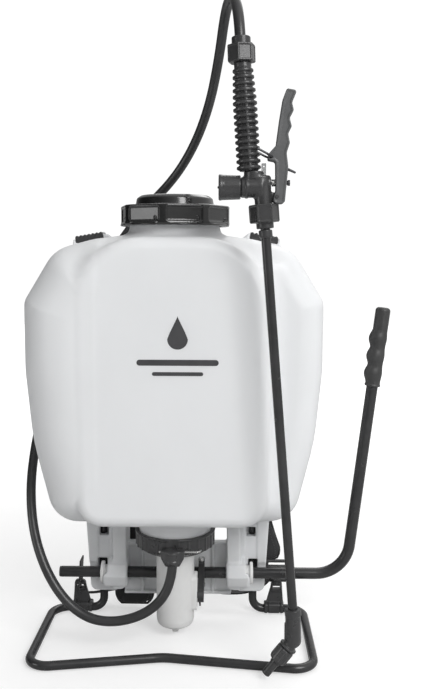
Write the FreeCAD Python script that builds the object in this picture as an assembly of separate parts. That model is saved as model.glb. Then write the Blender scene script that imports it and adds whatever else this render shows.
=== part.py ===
"""Backpack sprayer: a 15 litre translucent tank on a bent tube stand, a lever pump in the
tank's bottom, a hose over the back to a shut-off handle, and a spray lance.

Millimetres.  +Z is up, X runs to the right seen from the front, and the front faces -Y.
The origin is on the floor, on the axis of the pump and the filler neck.
"""
import FreeCAD, Part
import math
import os

V = FreeCAD.Vector
UP = V(0, 0, 1)

# ---- driving dimensions -------------------------------------------------------------
# tank
TANK_HALF = 184.5        # half the width at the widest height
TANK_BOTTOM = 158.0
TANK_TOP = 519.0
TANK_FRONT = -88.0
TANK_BACK = 88.0
WALL = 3.0
PANEL_HALF = 119.0       # half the width of the raised front panel
PANEL_ARCH = 92.0        # radius of the panel's upper corners
NECK_R = 56.0
NECK_BORE = 50.0
NECK_TOP = 543.0
FOOT_R = 46.5            # threaded outlet neck under the tank
FOOT_BORE = 40.0
FOOT_END = 128.0
EAR = V(112, 46, 510)    # strap seat on the right-hand shoulder
EAR_TILT = 10.0
EAR_HALF = 15.0
BRACKET_HALF = 18.2
BRACKET_T = 9.6
STRAP_END = 24.0         # width of a shoulder strap's end in its bracket
# cap
CAP_R = 65.0
CAP_BOTTOM = 527.6
CAP_TOP = 552.8
LID_FLANGE_BOTTOM = 546.5
LID_FLANGE_TOP = 549.8
DOME_R = 47.5
DOME_TOP = 565.6
# pump
SHAFT_Y = 38.0
SHAFT_Z = 67.0
SHAFT_R = 7.5
CRANK = 40.0             # shaft axis to crank pin
STROKE_ANGLE = 50.0      # whole swing of the lever, degrees
CYL_R = 24.5
CYL_BORE = 21.5
CYL_TOP = 150.0
COLLAR_R = 50.4
COLLAR_TOP = 142.0
COLLAR_BOTTOM = 115.0
PIN_R = 4.0
BUSH_R = 9.8             # shaft bush in the pillar's boss
SPIGOT_R = 7.25          # the shaft's free end, turned down for an accessory
SPIGOT_IN = -106.0
# stand
STAND_R = 5.5
STAND_HALF = 172.0
STAND_FRONT = -111.0
STAND_BACK = 67.0
LEG_X = 103.0
LEG_BEND = 15.0
# lance and handle, all in one upright plane in front of the tank
LANCE_Y = -125.0
LANCE_HEAD = V(105.0, LANCE_Y, 545.0)
LANCE_FOOT = V(143.0, LANCE_Y, 84.0)
LANCE_R = 5.4
GRIP_TOP = V(81.0, LANCE_Y, 694.0)
GRIP_FOOT = V(88.6, LANCE_Y, 584.0)
TRIGGER_PIVOT = V(119.0, LANCE_Y, 556.0)
STEM_Z = 571.3
BAIL_PIVOT = V(112.5, LANCE_Y, 598.5)   # in the trigger's ears
# hose
HOSE_R = 6.0
HOSE_ROUTE = [V(0, -58, 114), V(-2, -59, 92), V(-14, -62, 68), V(-38, -64, 50), V(-72, -64, 41),
              V(-106, -60, 44), V(-137, -53, 66), V(-162, -42, 102), V(-180, -22, 144),
              V(-189, 6, 192), V(-190, 42, 238), V(-186, 82, 286), V(-170, 112, 342),
              V(-142, 122, 402), V(-112, 118, 460), V(-82, 110, 512), V(-44, 103, 558),
              V(-6, 92, 595), V(22, 70, 636), V(42, 40, 682), V(54, 0, 730), V(62, -38, 779),
              V(70, -89, 784), V(77.5, -125, 748), V(79, -125, 704)]


# ---- small helpers ------------------------------------------------------------------
def save(name, shape):
    shape = shape.removeSplitter() if len(shape.Solids) == 1 else shape
    if not shape.isValid():
        print("INVALID", name)
    print("%-22s solids %d  volume %.0f" % (name, len(shape.Solids), shape.Volume))
    shape.exportStep("parts/%s.step" % name)


def rod(radius, start, end):
    along = end - start
    return Part.makeCylinder(radius, along.Length, start, along)


def sleeve(outer, inner, start, end):
    return rod(outer, start, end).cut(rod(inner, start, end))


def block(x0, x1, y0, y1, z0, z1):
    return Part.makeBox(x1 - x0, y1 - y0, z1 - z0, V(x0, y0, z0))


def upright(radius, z0, z1, x=0.0, y=0.0):
    return rod(radius, V(x, y, z0), V(x, y, z1))


def aim(shape, origin, axis):
    """Turns a shape built about +Z so that its Z runs along axis from origin."""
    placed = shape.copy()
    placed.Placement = FreeCAD.Placement(origin, FreeCAD.Rotation(UP, axis))
    return placed


def lathe(profile):
    """Revolves (radius, height) points about the Z axis."""
    points = [V(r, 0, h) for r, h in profile]
    face = Part.Face(Part.makePolygon(points + points[:1]))
    return face.revolve(V(0, 0, 0), UP, 360)


def mirrored(shape):
    return shape.mirror(V(0, 0, 0), V(1, 0, 0))


def corner(before, here, after, radius):
    """Start, middle and end of the arc that rounds one corner."""
    back = (before - here).normalize()
    ahead = (after - here).normalize()
    opening = back.getAngle(ahead)
    reach = radius / math.tan(opening / 2)
    bisector = (back + ahead).normalize()
    middle = here + bisector * (radius / math.sin(opening / 2) - radius)
    return here + back * reach, middle, here + ahead * reach


def rounded_wire(points, radii):
    """A closed outline of lines and arcs; a radius of 0 leaves a sharp corner."""
    count = len(points)
    spans = []
    for i in range(count):
        if radii[i] > 0:
            spans.append(corner(points[i - 1], points[i], points[(i + 1) % count], radii[i]))
        else:
            spans.append((points[i], None, points[i]))
    edges = []
    for i in range(count):
        start, middle, end = spans[i]
        if middle:
            edges.append(Part.Arc(start, middle, end).toShape())
        following = spans[(i + 1) % count][0]
        if (following - end).Length > 1e-6:
            edges.append(Part.LineSegment(end, following).toShape())
    return Part.Wire(edges)


def plate(outline, place, thickness):
    """Extrudes an outline of (u, v, corner radius) rows that place puts in space."""
    points = [place(u, v) for u, v, r in outline]
    radii = [r for u, v, r in outline]
    return Part.Face(rounded_wire(points, radii)).extrude(thickness)


def path_wire(points, radii):
    """An open path of straight runs joined by tangent arcs."""
    edges = []
    last = points[0]
    for i in range(1, len(points) - 1):
        start, middle, end = corner(points[i - 1], points[i], points[i + 1], radii[i - 1])
        edges.append(Part.LineSegment(last, start).toShape())
        edges.append(Part.Arc(start, middle, end).toShape())
        last = end
    edges.append(Part.LineSegment(last, points[-1]).toShape())
    return Part.Wire(edges)


def pipe(path, radius):
    edge = path.Edges[0]
    start = edge.valueAt(edge.FirstParameter)
    along = edge.tangentAt(edge.FirstParameter)
    section = Part.Wire([Part.Circle(start, along, radius).toShape()])
    return path.makePipeShell([section], True, True)


def ribbon(points, sizes, side):
    """A flat strap along a smooth curve, with one (width, thickness) row for each station;
    side is its width's direction."""
    curve = Part.BSplineCurve()
    curve.interpolate(points)
    sections = []
    span = curve.LastParameter - curve.FirstParameter
    for i, (width, thickness) in enumerate(sizes):
        t = curve.FirstParameter + span * i / (len(sizes) - 1)
        centre = curve.value(t)
        along = curve.tangent(t)[0]
        across = (side - along * side.dot(along)).normalize() * (width / 2)
        out = along.cross(across).normalize() * (thickness / 2)
        corners = [centre + across + out, centre - across + out,
                   centre - across - out, centre + across - out]
        sections.append(Part.makePolygon(corners + corners[:1]))
    return Part.makeLoft(sections, True, True)


def in_xz(y):
    return lambda u, v: V(u, y, v)


def in_yz(x):
    return lambda u, v: V(x, u, v)


# ---- tank ---------------------------------------------------------------------------
MID_Z = (TANK_BOTTOM + TANK_TOP) / 2

BODY_OUTLINE = [(150.0, TANK_BOTTOM, 36.0), (176.0, 262.0, 200.0), (TANK_HALF, 350.0, 150.0),
                (TANK_HALF, 436.0, 14.0), (146.0, 499.0, 34.0), (96.0, 512.5, 60.0)]
PANEL_OUTLINE = [(115.0, TANK_BOTTOM + 8, 34.0), (PANEL_HALF, 340.0, 400.0),
                 (PANEL_HALF, TANK_TOP - 5, PANEL_ARCH)]


def section(outline, y, inset):
    """The symmetric outline at depth y, drawn in by inset on every side."""
    wide = 1 - inset / TANK_HALF
    tall = 1 - inset / (TANK_TOP - MID_Z)
    right = [(V(x * wide, y, MID_Z + (z - MID_Z) * tall), r * wide) for x, z, r in outline]
    left = [(V(-p.x, p.y, p.z), r) for p, r in reversed(right)]
    rows = right + left
    return rounded_wire([p for p, r in rows], [r for p, r in rows])


def rounded_body(outline, stations, extra):
    """A loft through (depth, inset) stations, with extra taken off all round."""
    wires = []
    first, last = stations[0][0], stations[-1][0]
    for y, inset in stations:
        nearer = extra * (1 - 2 * (y - first) / (last - first))
        wires.append(section(outline, y + nearer, inset + extra))
    return Part.makeLoft(wires, True, True)


BODY_STATIONS = [(-52, 36), (-47, 19), (-36, 8), (-18, 2), (8, 0), (48, 0), (70, 4), (82, 12),
                 (TANK_BACK, 25)]
PANEL_STATIONS = [(TANK_FRONT, 16), (TANK_FRONT + 4, 8), (TANK_FRONT + 12, 2.5),
                  (TANK_FRONT + 26, 0), (-22, 0)]


def tank_mass(extra):
    body = rounded_body(BODY_OUTLINE, BODY_STATIONS, extra)
    panel = rounded_body(PANEL_OUTLINE, PANEL_STATIONS, extra)
    return body.fuse(panel)


def aim_ear(shape):
    placed = shape.copy()
    placed.Placement = FreeCAD.Placement(EAR, FreeCAD.Rotation(V(0, 1, 0), EAR_TILT))
    return placed


def strap_ear():
    """The sloping seat moulded on each shoulder, with a cheek at each end of the bracket."""
    outline = [(-32, -14, 0), (-28, -1, 0), (-20, BRACKET_T - 1.5, 1), (20, BRACKET_T - 1.5, 1),
               (23, -3, 0), (25, -14, 0)]
    solid = plate(outline, in_xz(-EAR_HALF), V(0, 2 * EAR_HALF, 0))
    seat = block(-BRACKET_HALF - 0.2, BRACKET_HALF + 0.2, -20, 20, 0, 20)
    return aim_ear(solid.cut(seat))


def tank_shell():
    neck = lathe([(0, 500), (66, 500), (66, 512), (60, 518), (NECK_R, 526), (NECK_R, NECK_TOP),
                  (0, NECK_TOP)])
    thread = lathe([(0, 533), (NECK_R + 1.6, 533), (NECK_R + 1.6, 536), (0, 536)])
    foot = upright(FOOT_R, FOOT_END, TANK_BOTTOM + 12)
    ear = strap_ear()
    outside = tank_mass(0).fuse([neck, thread, foot, ear, mirrored(ear)])
    inside = tank_mass(WALL)
    neck_bore = upright(NECK_BORE, 490, NECK_TOP + 1)
    foot_bore = upright(FOOT_BORE, FOOT_END - 1, TANK_BOTTOM + 20)
    return outside.cut(inside.fuse([neck_bore, foot_bore]))


def pillar():
    """Right-hand pillar under the tank, with its shaft boss and the leg's socket."""
    inner = plate([(70, 158, 0), (70, 44, 8), (98, 44, 0), (98, 158, 0)], in_xz(28), V(0, 46, 0))
    outer = plate([(98, 158, 0), (98, 36, 0), (118, 36, 8), (126, 158, 0)], in_xz(50), V(0, 24.5, 0))
    boss = rod(20.0, V(66, SHAFT_Y, SHAFT_Z), V(98, SHAFT_Y, SHAFT_Z))
    socket = upright(8.5, 36, 158, LEG_X, STAND_BACK)
    solid = inner.fuse([outer, boss, socket])
    pocket = block(74, 94, 33, 80, 96, 152)
    leg_bore = upright(STAND_R + 0.1, 30, 152, LEG_X, STAND_BACK)
    window = block(92.5, 104.5, 40, STAND_BACK, 121.5, 133.5)
    notch = block(93, 106, 40, STAND_BACK, 80, 94)
    bush_bore = rod(BUSH_R, V(60, SHAFT_Y, SHAFT_Z), V(98, SHAFT_Y, SHAFT_Z))
    clear = rod(15.5, V(98, SHAFT_Y, SHAFT_Z), V(130, SHAFT_Y, SHAFT_Z))
    screw_hole = rod(2.1, V(LEG_X, STAND_BACK, 140), V(130, STAND_BACK, 140))
    screw_seat = rod(4.7, V(123.1, STAND_BACK, 140), V(130, STAND_BACK, 140))
    return solid.cut([pocket, leg_bore, window, notch, bush_bore, clear, screw_hole, screw_seat])


def tank_skirt():
    right = pillar()
    back = block(-72, 72, 58, 63, 31, 104)
    ledge = block(-72, 72, 50, 63, 100, 104)
    foot_rail = block(-72, 72, 52, 63, 31, 35)
    ribs = [block(x - 1.5, x + 1.5, 53, 58, 35, 100) for x in (-48, 48)]
    relief = tank_mass(0)
    whole = right.fuse([mirrored(right), back, ledge, foot_rail] + ribs)
    return whole.cut(relief)


SCREW_R = 1.6
SCREW_XS = (-15.2, 15.2)
SCREW_Y = 9.0
TEETH = 7


def strap_bracket():
    """Black anchor plate with a toothed top; the strap's end goes into the slot behind."""
    body = block(-BRACKET_HALF, BRACKET_HALF, -13, 13, 0, BRACKET_T - 1.8)
    pitch = 2 * BRACKET_HALF / TEETH
    teeth = []
    for k in range(TEETH):
        start = -BRACKET_HALF + pitch * (k + 0.2)
        teeth.append(block(start, start + pitch * 0.6, -13, 4, BRACKET_T - 1.8, BRACKET_T))
    slot = block(-STRAP_END / 2 - 0.6, STRAP_END / 2 + 0.6, 0, 14, 2.2, 6.2)
    holes = [upright(SCREW_R + 0.1, -1, 13, x, SCREW_Y) for x in SCREW_XS]
    return aim_ear(body.fuse(teeth).cut([slot] + holes))


def bracket_screws():
    screws = []
    for x in SCREW_XS:
        head = upright(2.7, BRACKET_T - 1.8, BRACKET_T, x, SCREW_Y)
        shank = upright(SCREW_R, -6, BRACKET_T - 1.8, x, SCREW_Y)
        screws.append(aim_ear(head.fuse(shank)))
    return Part.makeCompound(screws + [mirrored(s) for s in screws])


# ---- cap ----------------------------------------------------------------------------
CAP_SIDES = 8
CAP_TURN = 13.5          # degrees that the ring is turned from square when tight


def cap_ring():
    """Eight-sided ring nut with recessed side panels and an inward lip over the lid."""
    reach = CAP_R / math.cos(math.pi / CAP_SIDES)
    points = []
    for k in range(CAP_SIDES):
        angle = 2 * math.pi * (k + 0.5) / CAP_SIDES + math.radians(CAP_TURN)
        points.append(V(reach * math.cos(angle), reach * math.sin(angle), CAP_BOTTOM))
    wire = rounded_wire(points, [12.0] * CAP_SIDES)
    body = Part.Face(wire).extrude(V(0, 0, CAP_TOP - CAP_BOTTOM))
    panels = []
    for k in range(CAP_SIDES):
        cutter = block(CAP_R - 1.5, CAP_R + 3, -20, 20, CAP_BOTTOM + 4, CAP_TOP - 4)
        cutter.rotate(V(0, 0, 0), UP, 360.0 * k / CAP_SIDES + CAP_TURN)
        panels.append(cutter)
    flange = upright(CAP_R + 2, CAP_BOTTOM, CAP_BOTTOM + 2)
    bore = upright(59.0, CAP_BOTTOM - 1, LID_FLANGE_TOP + 0.3)
    mouth = upright(50.0, CAP_BOTTOM, CAP_TOP + 1)
    return body.cut(panels).fuse(flange).cut([bore, mouth])


def cap_lid():
    inner = DOME_TOP - 3
    return lathe([(57, LID_FLANGE_BOTTOM), (57, LID_FLANGE_TOP), (DOME_R + 1, LID_FLANGE_TOP),
                  (DOME_R, DOME_TOP - 3.6), (DOME_R - 4, DOME_TOP), (0, DOME_TOP), (0, inner),
                  (DOME_R - 5, inner), (DOME_R - 3, inner - 3), (DOME_R - 2.5, LID_FLANGE_BOTTOM)])


def cap_gasket():
    return sleeve(56.0, 49.0, V(0, 0, BASKET_TOP), V(0, 0, LID_FLANGE_BOTTOM))


def vent_valve():
    """Rubber one-way vent hanging under the lid."""
    inner = DOME_TOP - 3
    return lathe([(0, inner - 9), (3, inner - 9), (8, inner - 6), (8, inner - 4.5), (3, inner - 4.5),
                  (3, inner), (0, inner)])


BASKET_TOP = NECK_TOP + 1.5


def filter_basket():
    cup = lathe([(0, 470), (44, 470), (47.5, NECK_TOP), (55, NECK_TOP), (55, BASKET_TOP),
                 (46, BASKET_TOP), (42.5, 471.8), (0, 471.8)])
    holes = []
    for ring_r, count in ((12, 6), (24, 12), (35, 18)):
        for k in range(count):
            angle = 2 * math.pi * k / count
            holes.append(upright(2.6, 469, 473, ring_r * math.cos(angle), ring_r * math.sin(angle)))
    for k in range(12):
        slot = block(38, 52, -4, 4, 482, 526)
        slot.rotate(V(0, 0, 0), UP, 30.0 * k)
        holes.append(slot)
    return cup.cut(holes)


# ---- pump ---------------------------------------------------------------------------
PORT_Z = 122.5
PORT_Y = -58.0
SPIGOT = 3.3             # radius of the elbow's spigot in the port
ELBOW_R = 9.0
ELBOW_CROWN = 130.0      # centre of the elbow's round top
CLIP_Z = 127.4


def pump_collar():
    """Ring nut on the tank's foot, with the outlet port moulded on its front."""
    ring = lathe([(27, COLLAR_BOTTOM), (40, COLLAR_BOTTOM), (COLLAR_R, 121), (COLLAR_R, 140),
                  (COLLAR_R - 1.5, COLLAR_TOP), (47, COLLAR_TOP), (47, 126.2), (44.2, 126.2),
                  (44.2, 118), (27, 118)])
    ribs = []
    for k in range(24):
        rib = block(COLLAR_R - 0.5, COLLAR_R + 0.8, -1.2, 1.2, 123, 138)
        rib.rotate(V(0, 0, 0), UP, 15.0 * k + 7.5)
        ribs.append(rib)
    port = rod(7.5, V(0, -47.5, PORT_Z), V(0, -50.8, PORT_Z))
    bore = rod(SPIGOT + 0.1, V(0, -40, PORT_Z), V(0, -60, PORT_Z))
    seat = upright(ELBOW_R + 0.05, 100, 150, 0, PORT_Y)
    return ring.fuse(ribs + [port]).cut([bore, seat])


def pressure_chamber():
    """Air vessel inside the tank, with the bore that the cylinder rises into."""
    vessel = lathe([(27, 118), (44, 118), (44, 126), (36, 126), (36, 280), (24, 296), (0, 300),
                    (0, 297), (22.5, 293.2), (33.5, 278.8), (33.5, 121), (29.5, 121), (29.5, 196),
                    (7, 196), (7, 192), (27, 192)])
    intake = rod(5.0, V(-34, 0, 170), V(-28, 0, 170)).fuse(rod(5.0, V(28, 0, 170), V(34, 0, 170)))
    intake_bore = rod(3.5, V(-40, 0, 170), V(40, 0, 170))
    outlet = rod(SPIGOT + 0.1, V(0, -30, PORT_Z), V(0, -46, PORT_Z))
    return vessel.fuse(intake).cut([intake_bore, outlet])


def intake_strainer():
    sieve = sleeve(37.6, 36.1, V(0, 0, 158), V(0, 0, 182))
    holes = []
    for k in range(16):
        hole = rod(2.0, V(34, 0, 170), V(40, 0, 170))
        hole.rotate(V(0, 0, 0), UP, 22.5 * k)
        holes.append(hole)
    return sieve.cut(holes)


def piston_tube():
    return sleeve(7.0, 4.0, V(0, 0, 64), V(0, 0, 202))


def piston_head():
    return lathe([(3, 52), (20.8, 52), (20.8, 56), (17.5, 56), (17.5, 61), (20.8, 61), (20.8, 66),
                  (7, 66), (7, 64), (6.5, 64), (6.5, 54.5), (3, 54.5)])


def piston_seal():
    return lathe([(17.6, 56.2), (20.6, 56.2), (21.4, 60.8), (17.6, 60.8)])


def check_ball():
    return Part.makeSphere(5.0, V(0, 0, 58.6))


def crank_pin_at(angle):
    """Depth and height of the crank pin; the angle is up from level, in degrees."""
    turn = math.radians(angle)
    return SHAFT_Y - CRANK * math.cos(turn), SHAFT_Z + CRANK * math.sin(turn)


REST_ANGLE = -STROKE_ANGLE / 2
PIN_Y, PIN_Z = crank_pin_at(REST_ANGLE)
LUG_FACE = 28.6          # outer face of the cylinder's lug
LUG_TOP = 80.0           # stays under the collar at the top of the stroke
CRANK_IN = 29.2
CRANK_OUT = 37.0


def pump_cylinder():
    cup = lathe([(0, 2.5), (3.2, 2.5), (4.5, 4), (4.5, 8), (14, 9.5), (21.5, 13), (CYL_R, 20),
                 (CYL_R, CYL_TOP), (CYL_BORE, CYL_TOP), (CYL_BORE, 16), (0, 16)])
    lug = plate([(-13, 34, 5), (13, 34, 5), (13, LUG_TOP, 5), (-13, LUG_TOP, 5)], in_yz(19),
                V(LUG_FACE - 19, 0, 0))
    lug = lug.cut(upright(CYL_BORE + 1, 20, 100))
    level_y = crank_pin_at(0)[0]
    play = 0.7
    low, high = level_y - PIN_R - play, PIN_Y + PIN_R + play
    slot = block(CYL_BORE + 1.2, LUG_FACE + 1, low, high, PIN_Z - PIN_R - play, PIN_Z + PIN_R + play)
    return cup.fuse(lug).cut(slot)


def cylinder_wiper():
    return lathe([(CYL_R + 0.05, 115.2), (26.9, 115.2), (26.9, 120), (CYL_R + 0.3, 120)])


def collar_gasket():
    return sleeve(44.0, 37.0, V(0, 0, 126), V(0, 0, FOOT_END))


def outlet_elbow():
    """Hose elbow: a level spigot in the collar's port and a socket pointing down."""
    head = upright(ELBOW_R, 116, ELBOW_CROWN, 0, PORT_Y)
    crown = Part.makeSphere(ELBOW_R, V(0, PORT_Y, ELBOW_CROWN))
    crown = crown.cut(block(-20, 20, -90, -20, 100, ELBOW_CROWN))
    spigot = rod(SPIGOT, V(0, -41, PORT_Z), V(0, -58, PORT_Z))
    hose_bore = upright(HOSE_R, 115, 116.01, 0, PORT_Y)
    barb = sleeve(ELBOW_R, 3.0, V(0, PORT_Y, 114), V(0, PORT_Y, 117))
    flow = rod(1.5, V(0, -40, PORT_Z), V(0, -58, PORT_Z)).fuse(upright(3.0, 113, 126, 0, PORT_Y))
    groove = sleeve(SPIGOT + 1, SPIGOT - 1.2, V(0, -45.7, PORT_Z), V(0, -44.3, PORT_Z))
    clip_hole = rod(1.6, V(-20, -52.6, CLIP_Z), V(20, -52.6, CLIP_Z))
    return head.fuse([crown, spigot, barb]).cut([flow, groove, clip_hole, hose_bore])


def outlet_clip():
    """Steel hairpin through the elbow, lying across the collar's front."""
    route = [V(-13, -52.6, CLIP_Z), V(29, -52.6, CLIP_Z), V(33, -47, CLIP_Z + 11)]
    return pipe(path_wire(route, [4.0]), 1.5)


def outlet_o_ring():
    return Part.makeTorus(SPIGOT - 0.55, 0.6, V(0, -45, PORT_Z), V(0, 1, 0))


# ---- lever --------------------------------------------------------------------------
LEVER_POINTS = [V(-156, SHAFT_Y, SHAFT_Z), V(226.5, SHAFT_Y, SHAFT_Z), V(262.5, SHAFT_Y, 370)]
LEVER_BEND = 45.0


def lever_tube():
    path = path_wire(LEVER_POINTS, [LEVER_BEND])
    tube = pipe(path, SHAFT_R).cut(pipe(path, SHAFT_R - 1.5))
    bolt_hole = upright(3.0, SHAFT_Z - 12, SHAFT_Z + 12, (CRANK_IN + CRANK_OUT) / 2, SHAFT_Y)
    end = LEVER_POINTS[0]
    turned_down = sleeve(SHAFT_R + 1, SPIGOT_R, end - V(1, 0, 0), V(SPIGOT_IN, SHAFT_Y, SHAFT_Z))
    return tube.cut([bolt_hole, turned_down])


def lever_grip():
    """Moulded hand grip over the lever's top end, with three finger waves."""
    along = (LEVER_POINTS[2] - LEVER_POINTS[1]).normalize()
    foot = LEVER_POINTS[2] - along * 48
    length = 104.0
    core = rod(9.6, foot, foot + along * (length - 6))
    tip = lathe([(0, 0), (9.6, 0), (8.6, 4), (5.5, 6), (0, 6)])
    tip = aim(tip, foot + along * (length - 6), along)
    waves = [aim(Part.makeSphere(11.0), foot + along * d + V(-2.2, 0, 0), along) for d in (16, 40, 64)]
    bore = rod(SHAFT_R, foot - along, LEVER_POINTS[2])
    return core.fuse([tip] + waves).cut(bore)


def shaft_end_plug():
    start = LEVER_POINTS[0]
    cap = rod(SPIGOT_R - 0.35, start - V(2.2, 0, 0), start)
    return cap.fuse(rod(SHAFT_R - 1.5, start, start + V(10, 0, 0)))


def shaft_bush():
    """Flanged plastic bearing for the right-hand boss."""
    body = rod(BUSH_R, V(66, SHAFT_Y, SHAFT_Z), V(98, SHAFT_Y, SHAFT_Z))
    flange = rod(14.5, V(98, SHAFT_Y, SHAFT_Z), V(102, SHAFT_Y, SHAFT_Z))
    return body.fuse(flange).cut(rod(SHAFT_R + 0.06, V(60, SHAFT_Y, SHAFT_Z), V(110, SHAFT_Y, SHAFT_Z)))


def crank_arm():
    """Moulded crank clamped on the shaft; its pin drives the cylinder's lug."""
    hub = rod(15.0, V(CRANK_IN, SHAFT_Y, SHAFT_Z), V(CRANK_OUT, SHAFT_Y, SHAFT_Z))
    eye = rod(9.0, V(CRANK_IN, PIN_Y, PIN_Z), V(CRANK_OUT, PIN_Y, PIN_Z))
    toward = V(0, PIN_Y - SHAFT_Y, PIN_Z - SHAFT_Z).normalize()
    across = V(0, -toward.z, toward.y)
    at_hub = V(CRANK_IN, SHAFT_Y, SHAFT_Z)
    at_eye = V(CRANK_IN, PIN_Y, PIN_Z)
    web = [at_hub + across * 14, at_eye + across * 8.6, at_eye - across * 8.6, at_hub - across * 14]
    arm = Part.Face(Part.makePolygon(web + web[:1])).extrude(V(CRANK_OUT - CRANK_IN, 0, 0))
    pin = rod(PIN_R, V(CYL_BORE + 2.0, PIN_Y, PIN_Z), V(CRANK_IN, PIN_Y, PIN_Z))
    ear = block(CRANK_IN, CRANK_OUT, SHAFT_Y - 6, SHAFT_Y + 6, SHAFT_Z + 8, SHAFT_Z + 17)
    whole = hub.fuse([eye, arm, pin, ear])
    bore = rod(SHAFT_R, V(CRANK_IN - 1, SHAFT_Y, SHAFT_Z), V(CRANK_OUT + 1, SHAFT_Y, SHAFT_Z))
    bolt_x = (CRANK_IN + CRANK_OUT) / 2
    bolt_hole = upright(3.0, SHAFT_Z - 20, SHAFT_Z + 20, bolt_x, SHAFT_Y)
    nut_seat = upright(5.3, SHAFT_Z - 40, SHAFT_Z - 15, bolt_x, SHAFT_Y)
    return whole.cut([bore, bolt_hole, nut_seat])


def crank_bolt():
    x = (CRANK_IN + CRANK_OUT) / 2
    shank = upright(2.9, SHAFT_Z - 19, SHAFT_Z + 17, x, SHAFT_Y)
    head = upright(4.5, SHAFT_Z + 17, SHAFT_Z + 20.5, x, SHAFT_Y)
    nut = upright(5.0, SHAFT_Z - 19, SHAFT_Z - 15, x, SHAFT_Y)
    return shank.fuse([head, nut])


# ---- stand and straps ---------------------------------------------------------------
def stand_frame():
    """One bent steel tube: a leg in each pillar, along the floor at the back, round the front."""
    floor = STAND_R
    half = [V(LEG_X, STAND_BACK, floor), V(STAND_HALF, STAND_BACK, floor),
            V(STAND_HALF, STAND_FRONT, floor)]
    left = [V(-p.x, p.y, p.z) for p in half]
    kink = V(-10, STAND_FRONT + 29, floor)
    points = [V(-LEG_X, STAND_BACK, 150)] + left + [kink] + list(reversed(half))
    points.append(V(LEG_X, STAND_BACK, 150))
    radii = [LEG_BEND, 26.0, 24.0, 60.0, 24.0, 26.0, LEG_BEND]
    path = path_wire(points, radii)
    return pipe(path, STAND_R).cut(pipe(path, STAND_R - 1.2))


def stand_screws():
    """One screw through each pillar into its leg."""
    head = rod(4.5, V(123.2, STAND_BACK, 140), V(126.5, STAND_BACK, 140))
    shank = rod(2.0, V(108.6, STAND_BACK, 140), V(123.2, STAND_BACK, 140))
    screw = head.fuse(shank)
    return Part.makeCompound([screw, mirrored(screw)])


CLIP_IN = 119.0
CLIP_OUT = 145.5


def strap_clip():
    """Snap-on hook on the stand's back rail, open underneath, with a webbing eye."""
    body = plate([(-8, 0.6, 2), (8, 0.6, 2), (8, 15, 4), (-8, 15, 4)],
                 lambda u, v: V(CLIP_IN, STAND_BACK + u, v), V(CLIP_OUT - CLIP_IN, 0, 0))
    fin = plate([(121, 14, 0), (CLIP_OUT, 14, 0), (143, 46, 4), (130, 46, 4)],
                in_xz(STAND_BACK - 3), V(0, 6, 0))
    eye = block(130.5, 141, STAND_BACK - 10, STAND_BACK + 10, 34, 39)
    rail = rod(STAND_R + 0.05, V(100, STAND_BACK, STAND_R), V(160, STAND_BACK, STAND_R))
    return body.fuse(fin).cut([eye, rail])


PAD_W = 58.0
PAD_T = 10.0
END_T = 3.0
BACK_LINE = TANK_BACK + 1.0 + PAD_T / 2


def shoulder_strap(half):
    """Padded strap down the tank's back, narrowing to a thin end in its bracket."""
    rows = [V(half * x, y, z) for x, y, z in STRAP_TOP]
    rows += STRAP_RIGHT if half > 0 else STRAP_LEFT
    sizes = []
    for i in range(STRAP_STATIONS + 1):
        share = min(1.0, max(0.0, (i - 4) / 5))
        sizes.append((STRAP_END + (PAD_W - STRAP_END) * share, END_T + (PAD_T - END_T) * share))
    tilt = math.tan(math.radians(EAR_TILT))
    return ribbon(rows, sizes, V(1, 0, -half * tilt))


STRAP_STATIONS = 44
STRAP_TOP = [(112.7, 48, 514.1), (112.7, 66, 514.3), (112.4, 82, 513), (112, 94, 501),
             (111.5, BACK_LINE + 1, 478)]
STRAP_LEFT = [V(-106, BACK_LINE + 1, 430), V(-96, BACK_LINE + 1, 350), V(-82, BACK_LINE, 230),
              V(-74, BACK_LINE, 176), V(-67, 89, 120), V(-62, 82, 50), V(-62, 80, 2)]
STRAP_RIGHT = [V(112, BACK_LINE + 1, 430), V(111, BACK_LINE + 1, 350), V(105, BACK_LINE, 250),
               V(99, BACK_LINE, 190), V(98, 90, 142), V(108, 86, 100), V(122, 83, 62)]


def strap_webbing_left():
    """Adjusting webbing from the left pad to its clip; its tail stands up beside the clip."""
    run = [V(-84, 88.5, 24), V(-104, 88, 20), V(-124, 84, 19), V(-136, 74, 26), V(-135, 66, 50),
           V(-133, 63, 76)]
    return ribbon(run, [(20.0, 2.0)] * 25, V(0, 0.9, -0.45))


def strap_webbing_right():
    run = [V(132, 78, 52), V(120, 81, 36), V(96, 83, 24), V(64, 83, 22), V(38, 83, 26), V(29, 83, 20),
           V(30, 83, 4)]
    return ribbon(run, [(16.0, 2.0)] * 31, V(0, 1, 0))


def strap_buckle():
    """Ladder-lock buckle at a pad's lower end, on the right-hand side of the model."""
    frame = block(-17, 17, -2.2, 2.2, -16, 16)
    slots = [block(-12, 12, -5, 5, z - 2, z + 2) for z in (-10, 0, 10)]
    return frame.cut(slots)


def placed_buckle(where):
    buckle = strap_buckle()
    buckle.translate(where)
    return buckle


# ---- hose ---------------------------------------------------------------------------
def hose():
    radii = []
    for i in range(1, len(HOSE_ROUTE) - 1):
        back = HOSE_ROUTE[i - 1] - HOSE_ROUTE[i]
        ahead = HOSE_ROUTE[i + 1] - HOSE_ROUTE[i]
        turn = math.pi - back.getAngle(ahead)
        radii.append(0.45 * min(back.Length, ahead.Length) / math.tan(turn / 2))
    path = path_wire(HOSE_ROUTE, radii)
    solid = pipe(path, HOSE_R)
    swept = math.pi * HOSE_R ** 2 * path.Length
    print("hose length %.0f, volume / section x length = %.4f" % (path.Length, solid.Volume / swept))
    print("hose radii in diameters:", [round(r / (2 * HOSE_R), 1) for r in radii])
    return solid


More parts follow.
